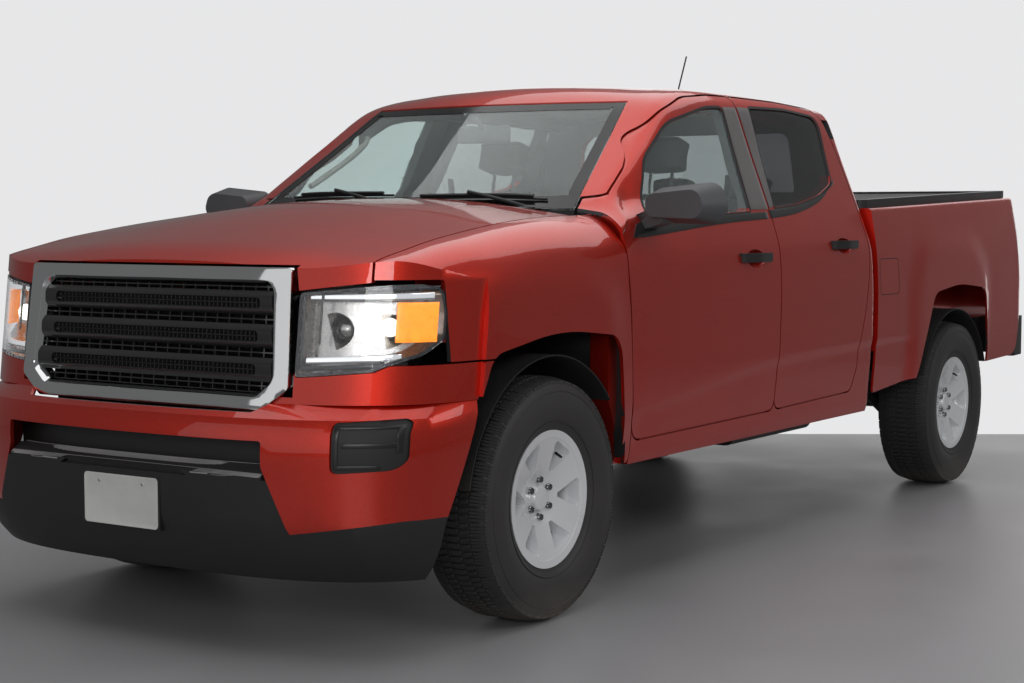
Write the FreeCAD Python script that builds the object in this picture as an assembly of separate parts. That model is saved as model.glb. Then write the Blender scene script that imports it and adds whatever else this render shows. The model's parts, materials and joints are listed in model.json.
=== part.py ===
import FreeCAD, Part
import math
import os

Vec = FreeCAD.Vector

# Overall sizes, in millimetres. +Z is up, the front faces -Y and +X is the driver's side.
LENGTH = 5700.0
FRONT_OVERHANG = 965.0
WHEELBASE = 3568.0
TRACK = 1585.0
BODY_HALF_WIDTH = 932.0
FLARE_OUT = 12.0
SILL_HEIGHT = 444.0

# Wheels: 265/70R16 tyres on 16 by 7 rims with six studs
TYRE_RADIUS = 388.0
TYRE_WIDTH = 262.0
TREAD_WIDTH = 222.0
RIM_SEAT_RADIUS = 203.0
RIM_LIP_RADIUS = 219.0
RIM_WIDTH = 202.0
RIM_WALL = 8.0
SPOKES = 6
STUD_CIRCLE_RADIUS = 60.0
STUD_RADIUS = 10.0
HUB_RADIUS = 39.0
DISC_RADIUS = 155.0
DISC_THICKNESS = 26.0

# Gaps and walls
SHUT_GAP = 6.5
SEAM = 0.3
PANEL = 12.0
GLASS = 5.0
GLASS_SET_BACK = 4.0
DOOR_DEPTH = 118.0
DOOR_FRAME_DEPTH = 50.0
POCKET_DEPTH = 56.0
SIDE_WALL = 112.0
PILLAR_WALL = 84.0
DOOR_INNER_INSET = 26.0
APERTURE_INSET = 11.0
HINGE_SET_BACK = 30.0
HINGE_INBOARD = 10.0


def st(y):
    """A station given from the front axle, in the part's frame."""
    return FRONT_OVERHANG - LENGTH / 2.0 + y


AXLE_FRONT = st(0.0)
AXLE_REAR = st(WHEELBASE)

# Stations from the front axle
DOOR_FRONT = 470.0
DOOR_SPLIT = 1600.0
CAB_START = 352.0
CAB_BACK = 2532.0
BED_FRONT = 2556.0
BED_END = 4512.0
TAIL = LENGTH - FRONT_OVERHANG


def clamp(t):
    return max(0.0, min(1.0, t))


def smooth(t):
    t = clamp(t)
    return t * t * (3.0 - 2.0 * t)


def profile(points):
    """A smooth function through a few (station, value) points that doesn't overshoot."""
    ts = [p[0] for p in points]
    vs = [p[1] for p in points]
    last = len(points) - 1
    rises = [(vs[i + 1] - vs[i]) / (ts[i + 1] - ts[i]) for i in range(last)]
    slopes = [rises[0]]
    for i in range(1, last):
        both = rises[i - 1] * rises[i]
        slopes.append(2.0 * both / (rises[i - 1] + rises[i]) if both > 0 else 0.0)
    slopes.append(rises[-1])

    def value(t):
        if t <= ts[0]:
            return vs[0] + slopes[0] * (t - ts[0])
        if t >= ts[-1]:
            return vs[-1] + slopes[-1] * (t - ts[-1])
        i = max(k for k in range(last) if ts[k] <= t)
        span = ts[i + 1] - ts[i]
        u = (t - ts[i]) / span
        start = (1 + 2 * u) * (1 - u) ** 2 * vs[i] + u * (1 - u) ** 2 * span * slopes[i]
        end = u * u * (3 - 2 * u) * vs[i + 1] + u * u * (u - 1) * span * slopes[i + 1]
        return start + end

    return value


# Outlines and solids

def rounded_wire(points, place):
    """A closed wire through (a, b) or (a, b, radius) corners, placed in space by place(a, b)."""
    corners = [(p[0], p[1], p[2] if len(p) > 2 else 0.0) for p in points]
    count = len(corners)
    runs = []
    for i, (a, b, r) in enumerate(corners):
        before = corners[i - 1]
        after = corners[(i + 1) % count]
        into = FreeCAD.Vector(before[0] - a, before[1] - b, 0)
        out = FreeCAD.Vector(after[0] - a, after[1] - b, 0)
        into.normalize()
        out.normalize()
        angle = into.getAngle(out)
        if r <= 0 or angle > math.pi - 0.02:
            runs.append([Vec(a, b, 0)])
            continue
        reach = r / math.tan(angle / 2.0)
        middle = into + out
        middle.normalize()
        centre = Vec(a, b, 0) + middle * (r / math.sin(angle / 2.0))
        runs.append([Vec(a, b, 0) + into * reach, centre - middle * r, Vec(a, b, 0) + out * reach])
    edges = []
    for i, run in enumerate(runs):
        follow = runs[(i + 1) % count]
        if len(run) == 3:
            arc = [place(p.x, p.y) for p in run]
            edges.append(Part.Arc(arc[0], arc[1], arc[2]).toShape())
        start = place(run[-1].x, run[-1].y)
        end = place(follow[0].x, follow[0].y)
        if (end - start).Length > 1e-4:
            edges.append(Part.LineSegment(start, end).toShape())
    return Part.Wire(edges)


def prism_x(points, low, high):
    """An outline in (station, height) extruded across the truck."""
    wire = rounded_wire(points, lambda y, z: Vec(low, st(y), z))
    return Part.Face(wire).extrude(Vec(high - low, 0, 0))


def prism_y(points, low, high, rake=0.0):
    """An outline in (x, height) extruded along the truck, between two stations."""
    wire = rounded_wire(points, lambda x, z: Vec(x, st(low), z))
    return Part.Face(wire).extrude(Vec(0, high - low, rake))


def prism_z(points, low, high, lean=0.0):
    """An outline in (x, station) extruded upwards, leaning back by lean over its height."""
    wire = rounded_wire(points, lambda x, y: Vec(x, st(y), low))
    return Part.Face(wire).extrude(Vec(0, lean, high - low))


def box(x0, x1, y0, y1, z0, z1):
    return Part.makeBox(x1 - x0, y1 - y0, z1 - z0, Vec(x0, st(y0), z0))


def rod(start, end, radius):
    return Part.makeCylinder(radius, (end - start).Length, start, end - start)


def tube(start, end, radius, bore):
    return rod(start, end, radius).cut(rod(start, end, bore))


def at(x, y, z):
    return Vec(x, st(y), z)


def mirrored(shape):
    return shape.mirror(Vec(0, 0, 0), Vec(1, 0, 0))


def both(shape):
    return Part.makeCompound([shape, mirrored(shape)])


def fused(*shapes):
    shape = shapes[0].multiFuse(list(shapes[1:])) if len(shapes) > 1 else shapes[0]
    return shape.removeSplitter()


def spline_wire(points, closing):
    """A smooth curve through the points, closed by straight runs through the closing points."""
    curve = Part.BSplineCurve()
    curve.interpolate(points)
    edges = [curve.toShape()]
    chain = [points[-1]] + closing + [points[0]]
    for start, end in zip(chain, chain[1:]):
        edges.append(Part.LineSegment(start, end).toShape())
    return Part.Wire(edges)


def mirror_outline(points):
    """Completes a symmetric outline from its right half, given from bottom to top."""
    left = [(-p[0],) + tuple(p[1:]) for p in reversed(points) if p[0] > 1e-6]
    return list(points) + left


def export(name, shape):
    shape.exportStep("parts/" + name + ".step")


# The body side: one section for the whole truck, with the flares and the low crease added to it

SIDE_SECTION = profile([
    (444, 900), (520, 918), (640, 928), (800, BODY_HALF_WIDTH), (950, BODY_HALF_WIDTH),
    (1080, 926), (1150, 917), (1220, 895), (1290, 868), (1400, 824), (1600, 745), (1800, 668),
])
CREASE_LINE = profile([(500, 640), (700, 655), (1572, 736), (2365, 757), (2900, 762)])
CREASE_DEPTH = 7.0
CREASE_HEIGHT = 46.0
FLARE_SHAPES = [(-55.0, 505.0, 470.0), (3445.0, 550.0, 540.0)]
FLARE_FOOT = 700.0
FLARE_FADE = 0.26
NOSE_TAPER_START = -300.0
NOSE_TAPER_END = -800.0
NOSE_TAPER = 48.0
GLASSHOUSE_TAPER = 72.0
BELT = 1220.0
LID_EDGE = 690.0
HIGH_FOOT = 850.0
HIGH_SHARE = 0.76


def flare(y, z):
    """How far the wheel arch flares stand out of the body side."""
    out = 0.0
    for centre, half, rise in FLARE_SHAPES:
        across = abs(y - centre) / half
        up = max(0.0, z - FLARE_FOOT) / rise
        reach = (across ** 4 + up ** 4) ** 0.25
        out += FLARE_OUT * smooth((1.0 - reach) / FLARE_FADE)
    return out


def lower_side_x(y, z, section):
    """Half the body's width below the glass, from a section with the flares, crease and nose taper."""
    x = section(z) + flare(y, z)
    low = smooth((CREASE_LINE(y) - z) / CREASE_HEIGHT) * smooth((z - 470.0) / 60.0)
    x -= CREASE_DEPTH * low * smooth((y - 420.0) / 80.0) * smooth((2980.0 - y) / 100.0)
    taper = clamp((NOSE_TAPER_START - y) / (NOSE_TAPER_START - NOSE_TAPER_END))
    return x - NOSE_TAPER * taper * taper


def side_x(y, z):
    """Half the cab's and the nose's width at a station and a height."""
    x = lower_side_x(y, z, SIDE_SECTION)
    narrow = clamp((1250.0 - y) / 780.0) * smooth((z - BELT) / 120.0)
    return x - GLASSHOUSE_TAPER * narrow * narrow


def half_section(y, depth, inset, rows, top, crown, corner, width=side_x):
    """Half a cross-section, from the sill over the shoulder to the centre line, as (x, z) points.

    depth is how far the section lies inside the skin, as a low and a high value about the belt.
    """
    low, high = depth

    def side(z):
        return width(y, z) - low - (high - low) * smooth((z - BELT + 40) / 100.0) - inset

    def lid(x):
        near = min(x, LID_EDGE)
        return top - crown * near * near - crown * LID_EDGE * max(0.0, x - LID_EDGE) - high - inset

    z_corner = lid(700.0)
    for _ in range(12):
        z_corner = lid(side(z_corner))
    x_corner = side(z_corner)
    z_start = z_corner - corner
    squeeze = min(1.0, HIGH_SHARE * (z_start - HIGH_FOOT) / (rows[-1] - HIGH_FOOT))
    rows = [z if z < HIGH_FOOT else HIGH_FOOT + (z - HIGH_FOOT) * squeeze for z in rows]
    points = [(side(z), z) for z in rows]
    upper = 4
    last_row = rows[-1]
    for i in range(1, upper):
        z = last_row + (z_start - last_row) * i / upper
        points.append((side(z), z))
    start = (side(z_start), z_start)
    end = (x_corner - corner, lid(x_corner - corner))
    for t in (0.0, 0.25, 0.5, 0.75, 1.0):
        a, b, c = (1 - t) ** 2, 2 * t * (1 - t), t * t
        points.append((a * start[0] + b * x_corner + c * end[0], a * start[1] + b * z_corner + c * end[1]))
    for share in (0.8, 0.6, 0.4, 0.2, 0.0):
        x = end[0] * share
        points.append((x, lid(x)))
    return points


def interpolated(points, parameters):
    """The cubic curve through the points at the given parameters."""
    curve = Part.BSplineCurve()
    curve.interpolate(Points=points, Parameters=parameters)
    return curve


def even_parameters(rows):
    """Parameters that follow the mean distance between neighbouring columns of the rows."""
    steps = []
    for i in range(len(rows[0]) - 1):
        steps.append(sum((row[i + 1] - row[i]).Length for row in rows) / len(rows))
    parameters = [0.0]
    for step in steps:
        parameters.append(parameters[-1] + step / sum(steps))
    parameters[-1] = 1.0
    return parameters


def grid_face(grid):
    """A smooth face through a grid of points, whose edges stay in the planes of the outer points."""
    across = even_parameters(grid)
    along = even_parameters([list(column) for column in zip(*grid)])
    sections = [interpolated(row, across) for row in grid]
    columns = [interpolated(list(poles), along) for poles in zip(*[s.getPoles() for s in sections])]
    surface = Part.BSplineSurface()
    poles = [list(row) for row in zip(*[c.getPoles() for c in columns])]
    surface.buildFromPolesMultsKnots(
        poles, columns[0].getMultiplicities(), sections[0].getMultiplicities(),
        columns[0].getKnots(), sections[0].getKnots(), False, False, 3, 3)
    return surface.toShape()


def ring_solid(sections):
    """A closed solid under a skin given by half-sections at rising stations, flat at the ends and below."""
    grid = []
    for y, half in sections:
        left = [Vec(x, st(y), z) for x, z in half]
        right = [Vec(-x, st(y), z) for x, z in reversed(half[:-1])]
        grid.append(left + right)
    skin = grid_face(grid)
    first, last = grid[0], grid[-1]
    front, back, left, right = None, None, None, None
    for edge in skin.Edges:
        middle = edge.valueAt((edge.FirstParameter + edge.LastParameter) / 2.0)
        if abs(middle.y - first[0].y) < 0.01:
            front = edge
        elif abs(middle.y - last[0].y) < 0.01:
            back = edge
        elif middle.x > 0:
            left = edge
        else:
            right = edge
    front_line = Part.LineSegment(first[-1], first[0]).toShape()
    back_line = Part.LineSegment(last[-1], last[0]).toShape()
    faces = [
        skin,
        Part.Face(Part.Wire([front, front_line])),
        Part.Face(Part.Wire([back, back_line])),
        Part.Face(Part.Wire(Part.__sortEdges__([left, back_line, right, front_line]))),
    ]
    shell = Part.makeShell(faces)
    shell.sewShape()
    solid = Part.makeSolid(Part.makeShell(shell.Faces))
    if solid.Volume < 0:
        solid.reverse()
    return solid


# The cab's skin: sill, sides, glasshouse, windscreen and roof in one surface

CAB_TOP = profile([
    (352, 1304), (452, 1376), (700, 1540), (900, 1668), (1034, 1745), (1150, 1774), (1350, 1787),
    (1700, 1791), (2100, 1787), (2532, 1768),
])
CAB_CROWN = profile([(352, 0.00005), (460, 0.000150), (900, 0.000160), (1100, 0.000120), (1400, 0.000075), (2532, 0.000075)])
CAB_CORNER = profile([(352, 38), (700, 58), (1100, 64), (1400, 66), (2532, 66)])
LOW_ROWS = [SILL_HEIGHT, 480, 520]
CREASE_ROWS = [-80, -56, -34, -14, 8, 50]
HIGH_ROWS = [880, 960, 1040, 1110, 1160, 1200]


def side_rows(y):
    """Heights at which the body side is drawn, which follow the crease."""
    return LOW_ROWS + [CREASE_LINE(y) + step for step in CREASE_ROWS] + HIGH_ROWS


CAB_STATIONS = [
    CAB_START, 400, 450, 520, 600, 690, 780, 870, 960, 1050, 1150, 1250, 1400, 1550, 1750, 1950, 2150, 2330, 2430, 2480,
]
CAB_BACK_CORNER = 40.0
CAB_BACK_STEPS = 4


def cab_solid(low, high=None):
    """The cab's volume, drawn in from its skin by low below the belt and by high above it."""
    depth = (low, low if high is None else high)
    back = CAB_BACK - depth[1]
    sections = []
    for y in CAB_STATIONS:
        sections.append((y, half_section(y, depth, 0.0, side_rows(y), CAB_TOP(y), CAB_CROWN(y), CAB_CORNER(y))))
    start = back - CAB_BACK_CORNER
    sections = [s for s in sections if s[0] < start - 8.0]
    for i in range(CAB_BACK_STEPS + 1):
        turn = math.radians(90.0 * i / CAB_BACK_STEPS)
        y = start + CAB_BACK_CORNER * math.sin(turn)
        inset = CAB_BACK_CORNER * (1.0 - math.cos(turn))
        half = half_section(y, depth, inset, side_rows(y), CAB_TOP(y), CAB_CROWN(y), CAB_CORNER(y))
        sections.append((y, half))
    return ring_solid(sections)


# The nose's skin: fenders and hood in one surface, ended by a raked front face that is bowed in plan

NOSE_START = -870.0
NOSE_END = DOOR_FRONT + 1.5
NOSE_TOP = profile([
    (-870, 1112), (-790, 1150), (-700, 1188), (-556, 1222), (-376, 1262), (-88, 1313), (168, 1337), (500, 1350),
])
NOSE_CROWN = profile([(-870, 0.00007), (-500, 0.00008), (-100, 0.00011), (500, 0.00012)])
NOSE_CORNER = 128.0
NOSE_ROWS = [SILL_HEIGHT - 44, 480, 540, 600, 660, 720, 780, 850, 920]
NOSE_STATIONS = [-870, -800, -730, -650, -560, -470, -380, -290, -200, -100, 0, 100, 200, 300, 390, NOSE_END]
FACE_CURVE = [(0, -800), (280, -799), (520, -793), (650, -765), (770, -702), (860, -610), (905, -500), (925, -380)]
FACE_TOP = 1130.0
FACE_RAKE = 0.122
FACE_LOW = 380.0
FACE_HIGH = 1340.0


def nose_section(y, depth):
    return half_section(y, (depth, depth), 0.0, NOSE_ROWS, NOSE_TOP(y), NOSE_CROWN(y), NOSE_CORNER)


def face_volume(depth, forward=0.0):
    """Everything behind the raked front face, which stands depth behind its skin."""
    shift = (FACE_TOP - FACE_LOW) * FACE_RAKE
    curve = FACE_CURVE[:0:-1] + [(-x, y) for x, y in FACE_CURVE]
    points = []
    for x, y in curve:
        inward = depth * (1.0 if abs(x) < 860 else 0.55)
        side = depth * clamp((abs(x) - 560) / 340.0)
        points.append(Vec(x - math.copysign(side, x), st(y - forward + inward) - shift, FACE_LOW))
    closing = [
        Vec(points[-1].x - 300, points[-1].y, FACE_LOW),
        Vec(points[-1].x - 300, st(NOSE_END + 300), FACE_LOW),
        Vec(points[0].x + 300, st(NOSE_END + 300), FACE_LOW),
        Vec(points[0].x + 300, points[0].y, FACE_LOW),
    ]
    lean = FACE_RAKE * (FACE_HIGH - FACE_LOW)
    return Part.Face(spline_wire(points, closing)).extrude(Vec(0, lean, FACE_HIGH - FACE_LOW))


def nose_solid(depth):
    """The nose's volume, drawn in from its skin."""
    ring = ring_solid([(y, nose_section(y, depth)) for y in NOSE_STATIONS])
    return ring.common(face_volume(depth))


# Wheel arches, with square shoulders as on the real truck

ARCH_FRONT = [(-620, 200), (-588, 400, 60), (-372, 868, 90), (0, 925, 1200), (372, 886, 90), (412, 600, 200), (410, 200)]
ARCH_REAR = [
    (-560, 200), (-566, 540, 60), (-362, 930, 95), (-40, 962, 1200), (340, 930, 90), (402, 620, 200), (398, 200),
]
LOCK_RADIUS = 452.0


def arch(points, axle):
    """An arch outline moved to its axle."""
    return [(axle + p[0],) + tuple(p[1:]) for p in points]


# Doors: outlines in (station, height), with the corner radius where one is given

DOOR_FRONT_OUTLINE = [
    (478, 526, 60), (456, 850, 900), (444, 1090, 500), (452, 1322, 20), (560, 1352, 60), (704, 1446, 400),
    (847, 1560, 500), (1033, 1658, 500), (1225, 1719, 400), (1450, 1739, 900), (DOOR_SPLIT + 36, 1744, 24),
    (DOOR_SPLIT + 20, 1300, 900), (DOOR_SPLIT, 1120, 900), (DOOR_SPLIT - 12, 860, 900), (DOOR_SPLIT - 32, 534, 40),
]
DOOR_REAR_OUTLINE = [
    (DOOR_SPLIT - 32 + SHUT_GAP, 535, 40), (DOOR_SPLIT - 12 + SHUT_GAP, 860, 900), (DOOR_SPLIT + SHUT_GAP, 1120, 900),
    (DOOR_SPLIT + 20 + SHUT_GAP, 1300, 900), (DOOR_SPLIT + 36 + SHUT_GAP, 1744, 24), (2050, 1745, 900),
    (2420, 1732, 90), (2465, 1560, 500), (2480, 1290, 500), (2472, 1090, 300), (2420, 880, 300),
    (2362, 740, 200), (2352, 640, 90), (2306, 548, 50),
]
WINDOW_FRONT_OUTLINE = [
    (672, 1272, 22), (812, 1478, 160), (1030, 1613, 400), (1375, 1686, 500), (1512, 1693, 20), (1450, 1297, 20),
]
WINDOW_REAR_OUTLINE = [
    (1672, 1313, 20), (1752, 1704, 20), (2080, 1712, 900), (2385, 1693, 50), (2300, 1418, 60), (2130, 1366, 200),
    (1890, 1327, 500),
]


def grown(points, margin):
    """The outline moved outwards by margin, inwards if it is negative, corner by corner."""
    area = sum(a[0] * b[1] - b[0] * a[1] for a, b in zip(points, points[1:] + points[:1]))
    turn = 1.0 if area > 0 else -1.0
    moved = []
    for i, p in enumerate(points):
        before, after = points[i - 1], points[(i + 1) % len(points)]
        into = Vec(p[0] - before[0], p[1] - before[1], 0)
        out = Vec(after[0] - p[0], after[1] - p[1], 0)
        into.normalize()
        out.normalize()
        first = Vec(into.y, -into.x, 0) * turn
        second = Vec(out.y, -out.x, 0) * turn
        share = first + second
        share = share * (2.0 * margin / share.dot(share))
        radius = ()
        if len(p) > 2:
            convex = (into.x * out.y - into.y * out.x) * turn > 0
            radius = (max(2.0, p[2] + (margin if convex else -margin)),)
        moved.append((p[0] + share.x, p[1] + share.y) + radius)
    return moved


WINDSCREEN_LOW = (704, 452)
WINDSCREEN_HIGH = (571, 1036)
FAR = 1100.0
POCKET_NEAR = 598.0
DOOR_NEAR = POCKET_NEAR + SHUT_GAP

cab_skin = cab_solid(0.0)
cab_panel = cab_solid(PANEL)
cab_pocket = cab_solid(POCKET_DEPTH)
cab_inside = cab_solid(SIDE_WALL, PILLAR_WALL)
cab_door_inner = cab_solid(DOOR_DEPTH, DOOR_FRAME_DEPTH)
cab_glass_out = cab_solid(GLASS_SET_BACK)
cab_glass_in = cab_solid(GLASS_SET_BACK + GLASS)
glass_layer = cab_glass_out.cut(cab_glass_in)

HANDLE_LENGTH = 250.0
HANDLE_HEIGHT = 34.0
HANDLE_OUT = 34.0
CUP_DEPTH = 22.0


def door_handle(y, z):
    """A pull handle across a cup in the door skin, and the cup to be cut."""
    face = side_x(y, z)
    half = HANDLE_LENGTH / 2.0
    outline = [
        (face - 16, y - half), (face + HANDLE_OUT * 0.55, y - half + 8, 20), (face + HANDLE_OUT, y - 20, 200),
        (face + HANDLE_OUT * 0.55, y + half - 8, 20), (face - 16, y + half), (face - 16, y + half - 42),
        (face + HANDLE_OUT * 0.3, y + half - 46, 12), (face + HANDLE_OUT * 0.3, y - half + 46, 12),
        (face - 16, y - half + 42),
    ]
    grip = prism_z(outline, z - HANDLE_HEIGHT / 2.0, z + HANDLE_HEIGHT / 2.0)
    cup = Part.makeSphere(1.0)
    matrix = FreeCAD.Matrix()
    matrix.scale(CUP_DEPTH, half * 0.62, HANDLE_HEIGHT * 1.05)
    cup = cup.transformGeometry(matrix)
    cup.translate(at(face + 4, y, z - 2))
    return grip, cup


def door(outline, window, handle):
    """A door on the left side: a skin that laps the body, a deep box below the belt, a frame round the glass."""
    skin = cab_skin.cut(cab_panel).common(prism_x(outline, DOOR_NEAR, FAR))
    box_part = cab_panel.cut(cab_door_inner).common(prism_x(grown(outline, -DOOR_INNER_INSET), DOOR_NEAR, FAR))
    body = skin.fuse(box_part)
    body = body.cut(prism_x(window, DOOR_NEAR, FAR))
    grip, cup = door_handle(*handle)
    body = body.cut(cup.cut(cab_solid(PANEL * 2.6)))
    body = body.fuse(grip).cut(pillar_clearance)
    glass = glass_layer.common(prism_x(window, DOOR_NEAR, FAR))
    return solid_of(body), solid_of(glass)


def solid_of(shape):
    """The largest solid of a result, which drops slivers left by the cuts."""
    solids = sorted(shape.Solids, key=lambda s: s.Volume)
    return solids[-1]


def left_part(shape):
    return max(shape.Solids, key=lambda s: s.CenterOfMass.x)


pillar_clearance = prism_z([
    (0, CAB_START - 20), (WINDSCREEN_LOW[0] + 2 * SHUT_GAP, CAB_START - 20), (WINDSCREEN_LOW[0] + 2 * SHUT_GAP, WINDSCREEN_LOW[1]),
    (WINDSCREEN_HIGH[0] + 2 * SHUT_GAP, WINDSCREEN_HIGH[1]), (0, WINDSCREEN_HIGH[1]),
], SILL_HEIGHT, CAB_TOP(1700) + 50)
HANDLE_FRONT = (1392, 1124)
HANDLE_REAR = (2225, 1162)

door_front, glass_front = door(DOOR_FRONT_OUTLINE, WINDOW_FRONT_OUTLINE, HANDLE_FRONT)
door_rear, glass_rear = door(DOOR_REAR_OUTLINE, WINDOW_REAR_OUTLINE, HANDLE_REAR)

# The body side: pillars, roof rail and sill round two door apertures

WINDSCREEN_BOW_LOW = 112.0
WINDSCREEN_BOW_HIGH = 84.0
REAR_WALL = 36.0
CAB_REAR_SEAM = CAB_BACK - REAR_WALL
REAR_PANEL_EDGE = 742.0
ROOF_EDGE = WINDSCREEN_HIGH[0]

side_plan = [
    (WINDSCREEN_LOW[0], CAB_START), WINDSCREEN_LOW, WINDSCREEN_HIGH, (ROOF_EDGE, CAB_REAR_SEAM),
    (REAR_PANEL_EDGE, CAB_REAR_SEAM), (REAR_PANEL_EDGE, CAB_BACK + 50), (FAR, CAB_BACK + 50), (FAR, CAB_START),
]
body_side = cab_skin.cut(cab_inside).common(prism_z(side_plan, SILL_HEIGHT - 10, 1900))
body_side = body_side.cut(box(ROOF_EDGE - 10, REAR_PANEL_EDGE, CAB_BACK - SIDE_WALL - 20, CAB_REAR_SEAM, 400, 1690))
pocket = cab_skin.cut(cab_pocket)
for outline in (DOOR_FRONT_OUTLINE, DOOR_REAR_OUTLINE):
    body_side = body_side.cut(pocket.common(prism_x(grown(outline, SHUT_GAP), POCKET_NEAR, FAR)))
    body_side = body_side.cut(prism_x(grown(outline, -APERTURE_INSET), POCKET_NEAR, FAR))
body_side = solid_of(body_side)


def bowed_plan(low_y, high_y):
    """The windscreen's plan outline: straight sides between two bowed edges."""
    x0, y0 = WINDSCREEN_LOW
    x1, y1 = WINDSCREEN_HIGH
    low = [at(-x0, y0, low_y), at(0, y0 - WINDSCREEN_BOW_LOW, low_y), at(x0, y0, low_y)]
    high = [at(x1, y1, low_y), at(0, y1 - WINDSCREEN_BOW_HIGH, low_y), at(-x1, y1, low_y)]
    edges = [
        Part.Arc(*low).toShape(), Part.LineSegment(low[2], high[0]).toShape(),
        Part.Arc(*high).toShape(), Part.LineSegment(high[2], low[0]).toShape(),
    ]
    return Part.Face(Part.Wire(edges)).extrude(Vec(0, 0, high_y - low_y))


screen_prism = bowed_plan(1000, 1900)
windshield = solid_of(glass_layer.common(screen_prism))
ROOF_THICKNESS = 24.0
cab_roof_inner = cab_solid(ROOF_THICKNESS)
roof_shell = cab_skin.cut(cab_roof_inner)
roof_plan = box(-ROOF_EDGE, ROOF_EDGE, WINDSCREEN_HIGH[1] - 150, CAB_REAR_SEAM, 1300, 1900)
roof = solid_of(roof_shell.common(roof_plan).cut(screen_prism))
COWL_TOP = 1290.0
COWL_CROWN = 30.0
COWL_SHEET = 8.0
COWL_FRONT = 306.0
COWL_HALF = WINDSCREEN_LOW[0] - SEAM
COWL_UNDER_GLASS = 26.0


def arched(x, top, rise, low):
    """A section across the truck under an arc that falls by rise at its ends."""
    arc = Part.Arc(Vec(x, 0, top - rise), Vec(0, 0, top), Vec(-x, 0, top - rise)).toShape()
    ends = [Vec(-x, 0, top - rise), Vec(-x, 0, low), Vec(x, 0, low), Vec(x, 0, top - rise)]
    return Part.Face(Part.Wire([arc] + [Part.LineSegment(a, b).toShape() for a, b in zip(ends, ends[1:])]))


cowl_block = arched(COWL_HALF, COWL_TOP, COWL_CROWN, COWL_TOP - 120)
cowl_void = arched(COWL_HALF + 10, COWL_TOP - COWL_SHEET, COWL_CROWN, COWL_TOP - 130)
cowl_block.translate(Vec(0, st(COWL_FRONT), 0))
cowl_void.translate(Vec(0, st(COWL_FRONT) - 10, 0))
cowl_sheet = cowl_block.extrude(Vec(0, WINDSCREEN_LOW[1] + COWL_UNDER_GLASS - COWL_FRONT, 0))
cowl_sheet = cowl_sheet.cut(cowl_void.extrude(Vec(0, 300, 0)))
glass_edge = screen_prism.copy()
glass_edge.translate(Vec(0, COWL_UNDER_GLASS, 0))
edge_band = screen_prism.cut(glass_edge).common(box(-COWL_HALF, COWL_HALF, CAB_START + 1, WINDSCREEN_LOW[1] + 40, COWL_TOP - COWL_CROWN - COWL_SHEET, 1400))
cowl = cowl_sheet.fuse(edge_band.common(cab_glass_in)).cut(windshield)
cowl = solid_of(cowl.cut(both(body_side)).removeSplitter())

# The cab's back, with the rear window let in
REAR_GLASS_OUTLINE = [(560, 1352, 50), (520, 1640, 50), (-520, 1640, 50), (-560, 1352, 50)]
REAR_PANEL_LOW = 556.0
rear_panel = cab_skin.common(box(-REAR_PANEL_EDGE, REAR_PANEL_EDGE, CAB_REAR_SEAM, CAB_BACK + 50, REAR_PANEL_LOW, 1900))
rear_hole = prism_y(REAR_GLASS_OUTLINE, CAB_REAR_SEAM, CAB_BACK + 50)
rear_panel = solid_of(rear_panel.cut(rear_hole))
rear_window = prism_y(REAR_GLASS_OUTLINE, CAB_BACK - 12, CAB_BACK - 12 + GLASS)


# A strip on the sill that carries the seal under each door
SEAL_STRIP = 9.0
seal_layer = cab_solid(PANEL + SEAM).cut(cab_inside)
for low_y, high_y, low_z in ((560, 1530, 520), (1660, 2260, 530)):
    strip = prism_x([(low_y, low_z - 12), (low_y, low_z + SEAL_STRIP + 6), (high_y, low_z + SEAL_STRIP + 12), (high_y, low_z - 12)], POCKET_NEAR, FAR)
    body_side = body_side.fuse(seal_layer.common(strip))

# The hinge pillar makes room for the fender's rear edge and the front wheel
FENDER_ROOM = 40.0
fender_room = cab_skin.cut(cab_solid(FENDER_ROOM)).common(box(600, FAR, 300, DOOR_FRONT + 6, 400, 1296))
front_lock = Part.makeCylinder(LOCK_RADIUS, 520, at(400, 0, TYRE_RADIUS), Vec(1, 0, 0))
body_side = solid_of(body_side.cut(fender_room).cut(front_lock))

# The nose: hood, fenders and the lamp volumes

HOOD_EDGE = 757.0
HOOD_REAR = 328.0
HOOD_FRAME = 30.0
HOOD_LIP_LOW = 1137.0
LAMP_TOP_INNER = 1058.0
LAMP_TOP_OUTER = 1088.0
nose_skin = nose_solid(0.0)
nose_panel = nose_solid(PANEL)
nose_frame = nose_solid(HOOD_FRAME)
nose_shell = nose_skin.cut(nose_panel)

hood_front_view = [
    (0, HOOD_LIP_LOW), (545, HOOD_LIP_LOW), (558, LAMP_TOP_INNER + SHUT_GAP),
    (HOOD_EDGE, LAMP_TOP_INNER + SHUT_GAP + 24), (HOOD_EDGE, 1500), (0, 1500),
]
hood_prism = both(prism_y(hood_front_view, -900, HOOD_REAR))
hood_half = prism_y(hood_front_view, -900, HOOD_REAR)
hood_skin = nose_shell.common(hood_half)
rib_view = [(0, 1190), (HOOD_EDGE - 70, 1150), (HOOD_EDGE - 70, 1500), (0, 1500)]
rib_room = prism_y([(0, 1000), (HOOD_EDGE - 190, 1000), (HOOD_EDGE - 190, 1500), (0, 1500)], -560, HOOD_REAR - 130)
cross_ribs = box(0, HOOD_EDGE - 150, -180, -110, 1000, 1500)
hood_ribs = nose_panel.cut(nose_frame).common(prism_y(rib_view, -700, HOOD_REAR - 40))
hood_ribs = hood_ribs.cut(rib_room.cut(cross_ribs))
hood_half = hood_skin.fuse(hood_ribs)
hood = solid_of(fused(hood_half, mirrored(hood_half)))

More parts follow.
